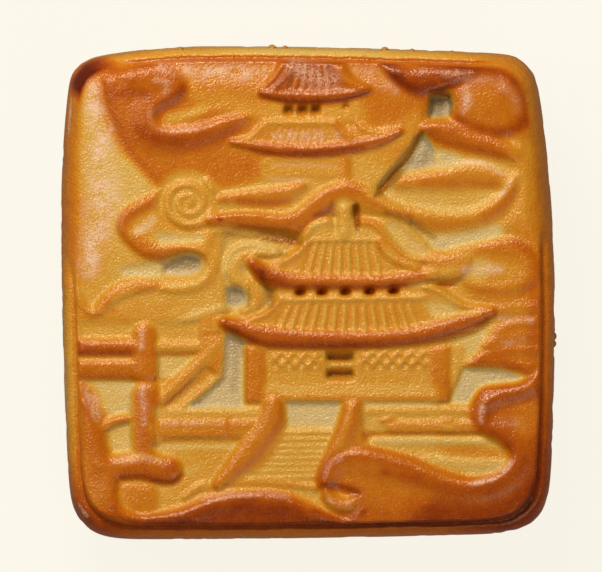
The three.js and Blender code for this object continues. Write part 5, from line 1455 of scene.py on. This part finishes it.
@dataclass(frozen=True)
class Border:
    """Marks along the rim: the browned upper edge, the burnt corner, painted glints of sheen and three dark
    specks.
    """

    elements: Elements = (
        Tint([(-34, 37, 0.9), (-20, 37.5, 0.9), (0, 37.6, 0.9), (14, 37.3, 1), (24, 36.8, 1.1),
            (34, 35.6, 0.9)], 0.84),
        # painted glints along the left edge
        PaintedSheen([(-38.4, 31.8, 0.3), (-38.5, 29.4, 0.4), (-38.6, 27.6, 0.35), (-38.8, 25.6, 0.3)], 1.2),
        PaintedSheen([(-39, 24.4, 0.25), (-39.2, 22, 0.3), (-39.4, 19, 0.2)], 1),
        Tint([(-37.6, 33.8, 0.4), (-37.2, 35.2, 0.8), (-36, 36.4, 0.8), (-34.8, 36.8, 0.4)], 0.95),
        # painted glints at the lower left corner
        PaintedSheen([(-37.2, -34, 0.3), (-36.6, -35.2, 0.5), (-35.6, -36, 0.3)], 1),
        Tint([(-14.4, 11.9, 0.25), (-14, 11.8, 0.25)], 1.6),
        Tint([(-17.7, -15.8, 0.22), (-17.4, -15.8, 0.22)], 1.5),
        Tint([(-31.5, -2.8, 0.25), (-31.2, -2.8, 0.25)], 1.3),
    )


@dataclass
class Landscape:
    """The whole pressed landscape.

    Attributes:
        ground: The lowest areas.
        clouds: The moon and the round clouds.
        buildings: Buildings, fences and the banks that lie over them.
        rounding: Rounding of each of the three over those before it, in millimetres.
        top: Height that the baking left as it was pressed.
        flatness: Share of every depth below the top that is left after baking.
    """

    ground: Sequence[Motif] = (Ground(),)
    clouds: Sequence[Motif] = (Moon(), MoonCloud(), RightTongues(), UpperRightCloud(), RightLobes())
    buildings: Sequence[Motif] = (Pits(), SmallPavilion(), WindingCloud(), Swirl(), LongCloud(),
                                  LeftBank(), LeftFence(), Scroll(), HallWalls(), Hall(), Stairs(),
                                  RightRailing(), LowerLeftBank(), LowerRightBank(), Border())
    rounding: tuple[float, float, float] = (0.4, 0.3, 0.24)
    top: float = 3.5
    flatness: float = 0.76

    def press(self) -> Relief:
        """Presses every motif.

        Returns:
            The finished relief.
        """
        relief = Relief()
        for motifs, sigma in zip((self.ground, self.clouds, self.buildings), self.rounding):
            for motif in motifs:
                for element in motif.elements:
                    element.press(relief)
            relief.soften(sigma)
        relief.height = self.top - self.flatness * (self.top - relief.height)
        return relief


# ---- the cake ----


@dataclass(frozen=True)
class Side:
    """One side of the plan: its reach, where that is, and how far it falls back by the corners."""

    reach: float
    peak: float
    before: float
    after: float

    def at(self, along: np.ndarray) -> np.ndarray:
        """Reach at places along the side, in millimetres."""
        away = (along - self.peak) / HALF_WIDTH
        return self.reach - np.where(away > 0, self.after, self.before) * away**2


HALF_WIDTH = 40.0
HEIGHT = 31.95
RELIEF_DEPTH = 3.5


@dataclass
class CakePlan:
    """Rounded square plan of the cake.

    Attributes:
        left: The left side, along y.
        right: The right side, along y.
        top: The top side, along x.
        bottom: The bottom side, along x.
        corners: How far the corners are cut, upper left, upper right, lower left and lower right.
    """

    left: Side = Side(39.98, 13.8, 0.9, 3.67)
    right: Side = Side(40.0, -1.9, 1.12, 2.98)
    top: Side = Side(39.98, -16.7, 6.47, 0.69)
    bottom: Side = Side(39.9, -30.0, 9.0, 0.35)
    corners: tuple[float, float, float, float] = (0.030, 0.039, 0.052, 0.056)

    def place(self, u: np.ndarray, v: np.ndarray, radius: np.ndarray) -> tuple[np.ndarray, np.ndarray]:
        """Places of grid coordinates.

        Args:
            u: Coordinate from -1 at the left to 1 at the right.
            v: Coordinate from -1 at the bottom to 1 at the top.
            radius: Half width of the ring where u or v is 1, measured at the widest bulge.

        Returns:
            x and y in millimetres.
        """
        upper_left, upper_right, lower_left, lower_right = self.corners
        cut = np.where(v > 0, np.where(u > 0, upper_right, upper_left),
                       np.where(u > 0, lower_right, lower_left))
        power = (1 - cut) / cut
        pull_x = 1 - cut * np.abs(v) ** power
        pull_y = 1 - cut * np.abs(u) ** power
        reach_x = np.where(u > 0, self.right.at(v * HALF_WIDTH), self.left.at(v * HALF_WIDTH))
        reach_y = np.where(v > 0, self.top.at(u * HALF_WIDTH), self.bottom.at(u * HALF_WIDTH))
        share = radius / HALF_WIDTH
        return u * pull_x * reach_x * share, v * pull_y * reach_y * share


def lumps(places: np.ndarray, size: float, seed: int, waves: int = 28) -> np.ndarray:
    """Smooth lumps of about a size, between about -1 and 1, at places in rows of three."""
    rng = np.random.default_rng(seed)
    turns = rng.normal(size=(waves, 3))
    turns *= 2 * math.pi / size / np.linalg.norm(turns, axis=1, keepdims=True)
    turns *= rng.uniform(0.6, 1.4, (waves, 1))
    phases = rng.uniform(0, 2 * math.pi, waves)
    total = np.zeros(len(places))
    for turn, phase in zip(turns, phases):
        total += np.sin(places @ turn + phase)
    return total / math.sqrt(waves)


@dataclass
class Browning:
    """How far each place is baked, from 0, pale, to 1, dark.

    Attributes:
        by_rise: Gain for each millimetre that a place stands over its surroundings.
        by_crest: Gain for each millimetre of the narrow crests.
        wide: Reach of the surroundings, in millimetres.
        narrow: Reach of a crest, in millimetres.
    """

    by_rise: float = 0.09
    by_crest: float = 0.07
    wide: float = 2.4
    narrow: float = 0.7

    def layer(self, relief: Relief) -> np.ndarray:
        """Browning of every cell of the relief."""
        height = relief.height
        rise = height - blurred(height, self.wide / relief.cell)
        crest = height - blurred(height, self.narrow / relief.cell)
        return relief.bake + self.by_rise * rise + self.by_crest * crest


@dataclass(frozen=True)
class Crumbs:
    """Bits of dough baked on to the wall.

    Attributes:
        places: Middle and radius of each, (x, y, z, radius) in millimetres.
        bake: Their browning.
        bloom: Painted sheen on them.
        shade: Olive darkening of their own colour, given through the layer that carries the painted shade.
    """

    places: Sequence[tuple[float, float, float, float]] = (
        (-5.8, 39.4, 25.6, 0.76), (-3.7, 39.5, 25.8, 0.5), (-20.6, 39.3, 26.0, 0.5), (12.4, 39.1, 25.6, 0.7),
        (16.8, 39.0, 25.4, 0.5), (17.6, 38.9, 25.8, 0.4), (23.2, 38.7, 25.6, 0.5), (26.2, 38.4, 25.6, 0.5),
        (39.4, -7.0, 20.6, 0.85), (39.5, -8.2, 20.0, 0.7), (39.5, -5.9, 20.4, 0.5), (39.5, -10.6, 20.2, 0.4),
    )
    bake: float = 0.4
    bloom: float = 0.1
    shade: float = 0.8

    def stick(self, mesh: bpy.types.Mesh) -> None:
        """Adds them to the cake's mesh as closed lumps sunk into the wall."""
        bm = bmesh.new()
        bm.from_mesh(mesh)
        layers = {name: bm.verts.layers.float[name] for name in ("bake", "bloom", "shade")}
        for x, y, z, radius in self.places:
            place = Matrix.Translation(Vector((x, y, z)) * MM)
            made = bmesh.ops.create_icosphere(bm, subdivisions=2, radius=radius * MM, matrix=place)
            for vert in made["verts"]:
                for name, layer in layers.items():
                    vert[layer] = getattr(self, name)
        bm.to_mesh(mesh)
        bm.free()


@dataclass
class Cake:
    """The cake as one closed mesh, with its crumbs.

    Attributes:
        cells: Cells along each side of the face's grid.
        face_radius: Half width of the grid; beyond it the edge turns down.
        fold: Height of the face's rounded edge over the deepest floor, (radius, height).
        rolled: The same where the face rolls over into the shoulder.
        creased: Section from the edge of the face down the shoulder, where a crease runs under the
            face, (radius, height).
        rounded: The same rows where the face rolls over.
        wall: Section from the shoulder down to the base, (radius, height).
        side_tones: Browning of the shoulder all round, with painted light, (degrees from the right side,
            browning).
        crease_tones: Darkening of the crease all round, partly browning and partly painted shade, in the same
            way.
        burns: Extra browning of the crease and of the wall's upper edge, in the same way.
        wall_tone: Browning of the wall's middle.
        lumpiness: Lumps in the wall, (size, height, seed).
        swell: Most that they add to the wall.
        limp: Share of its height over the rounded edge that the relief has lost there.
        lip: Least drop from the edge of the face to the row below it.
        painted_rows: Number of rows, from the face down, that the painted sheen and painted shade reach.
        plan: Outline of the cake.
        browning: How the relief's heights add to its baking.
        crumbs: Bits of dough on the wall.
    """

    cells: int = 280
    face_radius: float = 37.3
    fold: Sequence[Point] = ((33, 3.5), (35.4, 3.35), (36.6, 2.9), (37.3, 2.45))
    rolled: Sequence[Point] = ((31, 3.5), (34, 2.75), (35.6, 2.3), (36.6, 1.95), (37.3, 1.6))
    creased: Sequence[Point] = ((37.55, 30.3), (37.7, 29.7), (37.8, 29.2), (37.98, 28.98), (38.25, 29.08),
                                (38.6, 29.0), (39.0, 28.6), (39.35, 27.7), (39.6, 26.2))
    rounded: Sequence[Point] = ((37.75, 29.75), (38.1, 29.35), (38.4, 28.9), (38.65, 28.45), (38.85, 28.0),
                                (39.05, 27.4), (39.25, 26.7), (39.45, 25.8), (39.62, 24.8))
    wall: Sequence[Point] = ((39.8, 23.0), (39.92, 19.5), (39.95, 15.5), (39.8, 9.5), (39.2, 4.3),
                             (38.3, 1.5), (36.6, 0.12), (35.9, 0.0))
    # the shoulder's tones are partly baking and partly painted light: paler on the top side, darker on the
    # right and bottom sides
    side_tones: Sequence[Point] = ((0, 0.62), (25, 0.6), (38, 0.58), (47, 0.56), (58, 0.42), (75, 0.28),
                                   (100, 0.28), (118, 0.4), (133, 0.5), (142, 0.6), (165, 0.62), (178, 0.52),
                                   (190, 0.42), (206, 0.4), (216, 0.52),
                                   (225, 0.86), (232, 0.72), (245, 0.66), (270, 0.66), (300, 0.72),
                                   (312, 0.92), (322, 0.84), (340, 0.66))
    # the crease's tones: painted shade in the crease, darkest below and to the right, over some browning
    crease_tones: Sequence[Point] = ((0, 0.7), (45, 0.66), (60, 0.7), (120, 0.7), (135, 0.64), (180, 0.54),
                                     (210, 0.56), (228, 0.86), (270, 0.92), (312, 0.98), (340, 0.76))
    burns: Sequence[Point] = ((130.5, 0), (132.4, 0.34), (134.4, 0.5), (137, 0.46), (139, 0))
    wall_tone: float = 0.5
    lumpiness: Sequence[tuple[float, float, int]] = ((7, 0.1, 5), (2.2, 0.05, 6))
    swell: float = 0.04
    limp: float = 0.9
    lip: float = 0.25
    painted_rows: int = 8
    plan: CakePlan = field(default_factory=CakePlan)
    browning: Browning = field(default_factory=Browning)
    crumbs: Crumbs = field(default_factory=Crumbs)

    def build(self, relief: Relief) -> bpy.types.Object:
        """Makes the mesh and dresses it with its baking, painted sheen and painted shade.

        Args:
            relief: The pressed face.

        Returns:
            The cake's object.
        """
        mesh = self._shell()
        count = len(mesh.vertices)
        u, v, row = (np.zeros(count) for _ in range(3))
        for name, values in (("u", u), ("v", v), ("row", row)):
            mesh.attributes[name].data.foreach_get("value", values)
        places, bake, bloom, shade = self._shape(relief, u, v, row.round().astype(int))
        mesh.vertices.foreach_set("co", (places * MM).ravel())
        for name in ("u", "v", "row"):
            mesh.attributes.remove(mesh.attributes[name])
        for name, values in (("bake", bake), ("bloom", bloom), ("shade", shade)):
            mesh.attributes.new(name, "FLOAT", "POINT").data.foreach_set("value", values)
        self.crumbs.stick(mesh)
        mesh.shade_smooth()
        mesh.update()
        cake = bpy.data.objects.new("pressed_cake", mesh)
        bpy.context.collection.objects.link(cake)
        return cake

    def _shell(self) -> bpy.types.Mesh:
        """Closed grid: the face, the wall rows extruded from its edge, and the base."""
        bm = bmesh.new()
        layers = {name: bm.verts.layers.float.new(name) for name in ("u", "v", "row")}
        bmesh.ops.create_grid(bm, x_segments=self.cells, y_segments=self.cells, size=1.0)
        for vert in bm.verts:
            vert[layers["u"]], vert[layers["v"]] = vert.co.x, vert.co.y
        edges = [edge for edge in bm.edges if edge.is_boundary]
        for row in range(1, len(self.creased) + len(self.wall) + 1):
            made = bmesh.ops.extrude_edge_only(bm, edges=edges)["geom"]
            verts = [item for item in made if isinstance(item, bmesh.types.BMVert)]
            for vert in verts:
                vert[layers["row"]] = row
            bmesh.ops.translate(bm, verts=verts, vec=(0, 0, -0.1))
            edges = [edge for edge in made if isinstance(edge, bmesh.types.BMEdge) and edge.is_boundary]
        bmesh.ops.holes_fill(bm, edges=edges)
        bmesh.ops.recalc_face_normals(bm, faces=bm.faces)
        mesh = bpy.data.meshes.new("pressed_cake")
        bm.to_mesh(mesh)
        bm.free()
        return mesh

    def _shape(self, relief: Relief, u: np.ndarray, v: np.ndarray, row: np.ndarray) -> tuple[np.ndarray, ...]:
        """Places in millimetres, browning, painted sheen and painted shade of the shell's vertices."""
        rolls = self._rolls(u, v)
        flush, turned = (np.array([(self.face_radius, 0.0), *rows, *self.wall])
                         for rows in (self.creased, self.rounded))
        section = flush[row] + (turned[row] - flush[row]) * rolls[:, None]
        x, y = self.plan.place(u, v, section[:, 0])
        face_x, face_y = self.plan.place(u, v, np.full(u.shape, self.face_radius))
        level = relief.sample(relief.height, face_x, face_y)
        rim = np.maximum(np.abs(u), np.abs(v)) * self.face_radius
        edge, roll = (np.interp(rim, *np.transpose(line)) for line in (self.fold, self.rolled))
        level = level - self.limp * np.maximum(level - edge - (roll - edge) * rolls, 0)
        floor = HEIGHT - RELIEF_DEPTH
        z = np.where(row == 0, floor + level, section[:, 1])
        near = row == 1
        z[near] = np.minimum(z[near], floor + level[near] - self.lip)
        wall = (row > 1) & (row < len(flush) - 2)
        places = np.stack([x, y, z], 1)
        swell = sum(lumps(places, size, seed) * height for size, height, seed in self.lumpiness)
        share = 1 + np.where(wall, np.minimum(swell, self.swell), 0) / HALF_WIDTH
        face_bake = relief.sample(self.browning.layer(relief), face_x, face_y)
        # painted sheen and painted shade reach only the rows near the face
        bloom, shade = (relief.sample(layer, x, y) * (row < self.painted_rows)
                        for layer in (relief.bloom, relief.shade))
        bake = self._bake(face_bake, u, v, z, row, rolls)
        return np.stack([x * share, y * share, z], 1), bake, bloom, shade

    def _rolls(self, u: np.ndarray, v: np.ndarray) -> np.ndarray:
        """How far the face rolls over instead of ending at a crease: at the upper left and right."""
        left = ramp(-u, 0.5, 0.9) * ramp(v, 0.02, 0.2)
        right = ramp(u, 0.5, 0.9) * ramp(v, 0.12, 0.34)
        inner = ramp(-np.abs(u), -0.93, -0.78)
        return np.maximum(left, right) * (1 - inner * ramp(v, 0.8, 1.0))

    def _bake(self, face: np.ndarray, u: np.ndarray, v: np.ndarray, z: np.ndarray, row: np.ndarray,
              rolls: np.ndarray) -> np.ndarray:
        """Browning, from the face's over the edge to the wall's."""
        turn = np.degrees(np.arctan2(v, u))
        side, seam, burn = (np.interp(turn, *np.transpose(tones), period=360)
                            for tones in (self.side_tones, self.crease_tones, self.burns))
        # the shoulder and crease carry painted light: paler on top, darker in the crease and on the right and
        # bottom
        wall = self.wall_tone + (side - self.wall_tone) * ramp(z, 8, 24) + burn * ramp(z, 21, 28)
        wall = wall + 0.2 * ramp(-z, -3.5, 0)
        crease = side * rolls + seam * (1 - rolls) + burn
        return np.select([row > 5, row > 1, row > 0], [wall, crease, 0.5 * (face + crease)], face)


# ---- finishes ----


class Socket:
    """Output of a shader node that Python arithmetic combines."""

    def __init__(self, graph: "Graph", output: bpy.types.NodeSocket) -> None:
        self.graph = graph
        self.output = output

    def _with(self, operation: str, first: Any, second: Any) -> "Socket":
        """Math node of an operation on two sockets or numbers."""
        node = self.graph.node("ShaderNodeMath", {"operation": operation}, {0: first, 1: second})
        return Socket(self.graph, node.outputs[0])

    def __add__(self, other: Any) -> "Socket":
        """Sum."""
        return self._with("ADD", self, other)

    def __sub__(self, other: Any) -> "Socket":
        """Difference."""
        return self._with("SUBTRACT", self, other)

    def __rsub__(self, other: Any) -> "Socket":
        """Difference from a number."""
        return self._with("SUBTRACT", other, self)

    def __mul__(self, other: Any) -> "Socket":
        """Product."""
        return self._with("MULTIPLY", self, other)

    def above(self, edge: float, width: float) -> "Socket":
        """Share that rises from 0 at the edge to 1 a width beyond it."""
        node = self.graph.node("ShaderNodeMapRange", {"clamp": True}, {0: self, 1: edge, 2: edge + width})
        return Socket(self.graph, node.outputs[0])

    __radd__ = __add__
    __rmul__ = __mul__


class Graph:
    """Node tree of one material."""

    def __init__(self, name: str) -> None:
        self.material = bpy.data.materials.new(name)
        self.material.use_nodes = True
        self.tree = self.material.node_tree
        self.tree.nodes.clear()

    def node(self, kind: str, settings: Mapping[str, Any] | None = None,
             inputs: Mapping[str | int, Any] | None = None) -> bpy.types.Node:
        """Makes a node.

        Args:
            kind: Blender's name of its type.
            settings: Its own properties; "stops" fills a colour ramp.
            inputs: Values or sockets for its inputs, by name or number.

        Returns:
            The node.
        """
        node = self.tree.nodes.new(kind)
        for key, value in (settings or {}).items():
            if key == "stops":
                elements = node.color_ramp.elements
                for _ in range(len(value) - 2):
                    elements.new(0.5)
                for element, (position, colour) in zip(elements, value):
                    element.position, element.color = position, (*colour, 1)
            else:
                setattr(node, key, value)
        for key, value in (inputs or {}).items():
            if isinstance(value, Socket):
                self.tree.links.new(value.output, node.inputs[key])
            else:
                node.inputs[key].default_value = value
        return node

    def socket(self, kind: str, settings: Mapping[str, Any] | None = None,
               inputs: Mapping[str | int, Any] | None = None, output: str | int = 0) -> Socket:
        """Makes a node and wraps one of its outputs."""
        return Socket(self, self.node(kind, settings, inputs).outputs[output])

    def noise(self, places: Socket, size: float, detail: float = 2.0, roughness: float = 0.5) -> Socket:
        """Noise whose lumps are about a size in metres."""
        return self.socket("ShaderNodeTexNoise", {}, {"Vector": places, "Scale": 1 / size,
                                                       "Detail": detail, "Roughness": roughness})

    def mix(self, share: Any, first: Any, second: Any, blend: str = "MIX") -> Socket:
        """Colour mixed between two."""
        node = self.node("ShaderNodeMix", {"data_type": "RGBA", "blend_type": blend},
                         {0: share, 6: first, 7: second})
        return Socket(self, node.outputs[2])

    def finish(self, surface: bpy.types.Node) -> bpy.types.Material:
        """Connects the surface to the output and returns the material."""
        self.node("ShaderNodeOutputMaterial", {}, {"Surface": Socket(self, surface.outputs[0])})
        return self.material


def linear(red: int, green: int, blue: int) -> tuple[float, float, float]:
    """Linear light of a display colour given from 0 to 255."""
    shares = [channel / 255 for channel in (red, green, blue)]
    values = [s / 12.92 if s <= 0.04045 else ((s + 0.055) / 1.055) ** 2.4 for s in shares]
    return values[0], values[1], values[2]


@dataclass(frozen=True)
class Crust:
    """Egg-washed crust, pale in the hollows and brown on the crests, with painted sheen and painted shade.

    Attributes:
        stops: Bake from 0 to 1 and its colour.
        bloom: Colour of the painted sheen specks.
        painted_shade: Share of each colour that the painted olive shade lets through.
        pimple: Size of the fine pimples in the glaze, in metres.
        roughness: Roughness of the glaze.
    """

    stops: Sequence[tuple[float, tuple[int, int, int]]] = (
        (0.0, (180, 160, 124)), (0.12, (206, 178, 118)), (0.25, (209, 168, 84)), (0.38, (205, 149, 49)),
        (0.5, (201, 131, 29)), (0.62, (192, 109, 13)), (0.72, (180, 89, 7)), (0.82, (158, 68, 4)),
        (0.91, (130, 47, 3)), (1.0, (92, 28, 2)),
    )
    bloom: tuple[int, int, int] = (230, 191, 162)
    painted_shade: tuple[float, float, float] = (0.52, 0.46, 0.36)
    pimple: float = 0.00036
    roughness: float = 0.23

    def build(self) -> bpy.types.Material:
        """Makes the material."""
        graph = Graph("egg_washed_crust")
        places = graph.socket("ShaderNodeTexCoord", output="Object")
        bake = graph.socket("ShaderNodeAttribute", {"attribute_name": "bake"}, output="Fac")
        mottle = graph.noise(places, 0.0022, 4, 0.6)
        freckle = graph.noise(places, 0.0003, 3, 0.65)
        pale = 0.85 - bake * 0.7
        baked = bake + (mottle - 0.5) * 0.18 + (freckle - 0.5) * (pale * 0.5 + 0.08)
        stops = [(place, linear(*colour)) for place, colour in self.stops]
        crumb = graph.socket("ShaderNodeValToRGB", {"stops": stops}, {"Fac": baked})
        # painted sheen: pale glinting specks mixed into the colour, with rougher glaze under them
        sheen_share = graph.socket("ShaderNodeAttribute", {"attribute_name": "bloom"}, output="Fac")
        sheen_specks = sheen_share * (freckle + (mottle - 0.5) * 0.6).above(0.43, 0.14)
        # painted shade: the colour darkened toward olive brown where the shade layer is set
        painted_shade = graph.socket("ShaderNodeAttribute", {"attribute_name": "shade"}, output="Fac")
        painted_shade = painted_shade * (mottle * 1.2 + 0.4)
        crumb = graph.mix(painted_shade, crumb, (*self.painted_shade, 1), "MULTIPLY")
        colour = graph.mix(sheen_specks * 0.9, crumb, (*linear(*self.bloom), 1))
        pimples = graph.noise(places, self.pimple, 2, 0.5)
        grain = graph.noise(places, 0.0012, 2, 0.5)
        bump = graph.socket("ShaderNodeBump", {}, {"Strength": 0.9, "Distance": 0.00021,
                                                   "Height": pimples * (pale * 1.5 + 0.1) + grain * 0.5},
                            output="Normal")
        roughness = self.roughness + (mottle - 0.5) * 0.2 + sheen_specks * 0.2
        surface = graph.node("ShaderNodeBsdfPrincipled", {}, {
            "Base Color": colour, "Roughness": roughness, "Normal": bump, "Specular IOR Level": 0.5,
            "Specular Tint": (1.0, 0.82, 0.58, 1.0),
            "Subsurface Weight": 0.1, "Subsurface Radius": (1.0, 0.4, 0.12), "Subsurface Scale": 0.0009,
        })
        return graph.finish(surface)


@dataclass(frozen=True)
class Backdrop:
    """Pale table that hardly takes a shadow."""

    colour: tuple[int, int, int] = (250, 246, 234)
    glow: float = 0.945

    def build(self) -> bpy.types.Material:
        """Makes the material."""
        graph = Graph("pale_table")
        tone = (*linear(*self.colour), 1)
        surface = graph.node("ShaderNodeBsdfPrincipled", {}, {
            "Base Color": (0.06, 0.06, 0.055, 1), "Roughness": 0.9, "Specular IOR Level": 0.1,
            "Emission Color": tone, "Emission Strength": self.glow,
        })
        return graph.finish(surface)


# ---- the studio ----


class Lamp(Enum):
    """Soft lights: place, size and power, in metres and watts."""

    KEY = ((-0.12, 0.42, 0.46), (0.30, 0.18), 3.65)
    WINDOW = ((-0.32, 0.12, 0.58), (0.16, 0.16), 0.9)
    FILL = ((0.30, -0.44, 0.44), (0.50, 0.40), 1.25)


@dataclass
class Studio:
    """Floor, lights and the camera straight above the cake.

    Attributes:
        view_width: Width of the camera's view at the cake's face, in millimetres.
        centre: Place that the camera looks down on, in millimetres.
        distance: Height of the camera over the face, in metres.
        reach: How far the camera sees, in metres.
        floor_half: Half width of the floor, in metres.
        drop: How far the floor lies below the cake's base, in metres, so that the two don't flicker.
        ambient: Strength of the light from all round.
        air: Brightness of the air behind the floor's edge.
        lamp_tone: Colour of the lamps, in linear light.
        air_tone: Colour of the light from all round, in linear light.
    """

    view_width: float = 97.1
    centre: Point = (-1.13, 1.13)
    distance: float = 4.0
    reach: float = 10.0
    floor_half: float = 3.0
    drop: float = 0.0001
    ambient: float = 0.09
    air: float = 0.905
    lamp_tone: tuple[float, float, float] = (1.0, 0.94, 0.84)
    air_tone: tuple[float, float, float] = (1.0, 0.965, 0.862)

    def build(self) -> None:
        """Makes all of it."""
        self._floor()
        self._lights()
        self._camera()

    def _floor(self) -> None:
        """Lays the floor under the cake."""
        bm = bmesh.new()
        bmesh.ops.create_grid(bm, x_segments=1, y_segments=1, size=self.floor_half)
        mesh = bpy.data.meshes.new("table")
        bm.to_mesh(mesh)
        bm.free()
        mesh.materials.append(Backdrop().build())
        table = bpy.data.objects.new("table", mesh)
        bpy.context.collection.objects.link(table)
        table.visible_glossy = False
        table.location.z = -self.drop

    def _lights(self) -> None:
        """Hangs the soft lights and sets the light from all round."""
        for lamp in Lamp:
            place, size, power = lamp.value
            light = bpy.data.lights.new(lamp.name.lower(), "AREA")
            light.shape = "RECTANGLE"
            light.size, light.size_y = size
            light.energy = power
            light.color = self.lamp_tone
            holder = bpy.data.objects.new(lamp.name.lower(), light)
            holder.location = place
            holder.rotation_euler = (-Vector(place)).to_track_quat("-Z", "Y").to_euler()
            holder.visible_camera = False
            bpy.context.collection.objects.link(holder)
        world = bpy.data.worlds.new("studio_air")
        world.use_nodes = True
        tree = world.node_tree
        background = tree.nodes["Background"]
        background.inputs["Color"].default_value = (*self.air_tone, 1)
        seen = tree.nodes.new("ShaderNodeMapRange")
        seen.inputs["To Min"].default_value = self.ambient
        seen.inputs["To Max"].default_value = self.air
        path = tree.nodes.new("ShaderNodeLightPath")
        tree.links.new(path.outputs["Is Camera Ray"], seen.inputs["Value"])
        tree.links.new(seen.outputs["Result"], background.inputs["Strength"])
        bpy.context.scene.world = world
        bpy.context.scene.view_settings.view_transform = "Standard"

    def _camera(self) -> None:
        """Puts the camera straight above, with a long lens."""
        camera = bpy.data.cameras.new("overhead")
        camera.lens = camera.sensor_width * self.distance / (self.view_width * MM)
        camera.clip_end = self.reach
        holder = bpy.data.objects.new("overhead", camera)
        holder.location = (self.centre[0] * MM, self.centre[1] * MM, HEIGHT * MM + self.distance)
        bpy.context.collection.objects.link(holder)
        bpy.context.scene.camera = holder


# ---- assembly ----


def settle(piece: bpy.types.Object) -> None:
    """Hands a finished piece to the frame."""
    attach(piece, "root")
    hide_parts(NODE)
    LOG.info("%s: %d faces", piece.name, len(piece.data.polygons))


def main() -> None:
    """Builds the cake and the studio."""
    logging.basicConfig(level=logging.INFO, format="%(name)s: %(message)s")
    relief = Landscape().press()
    cake = Cake().build(relief)
    cake.data.materials.append(Crust().build())
    settle(cake)
    Studio().build()


if __name__ == "__main__":
    main()
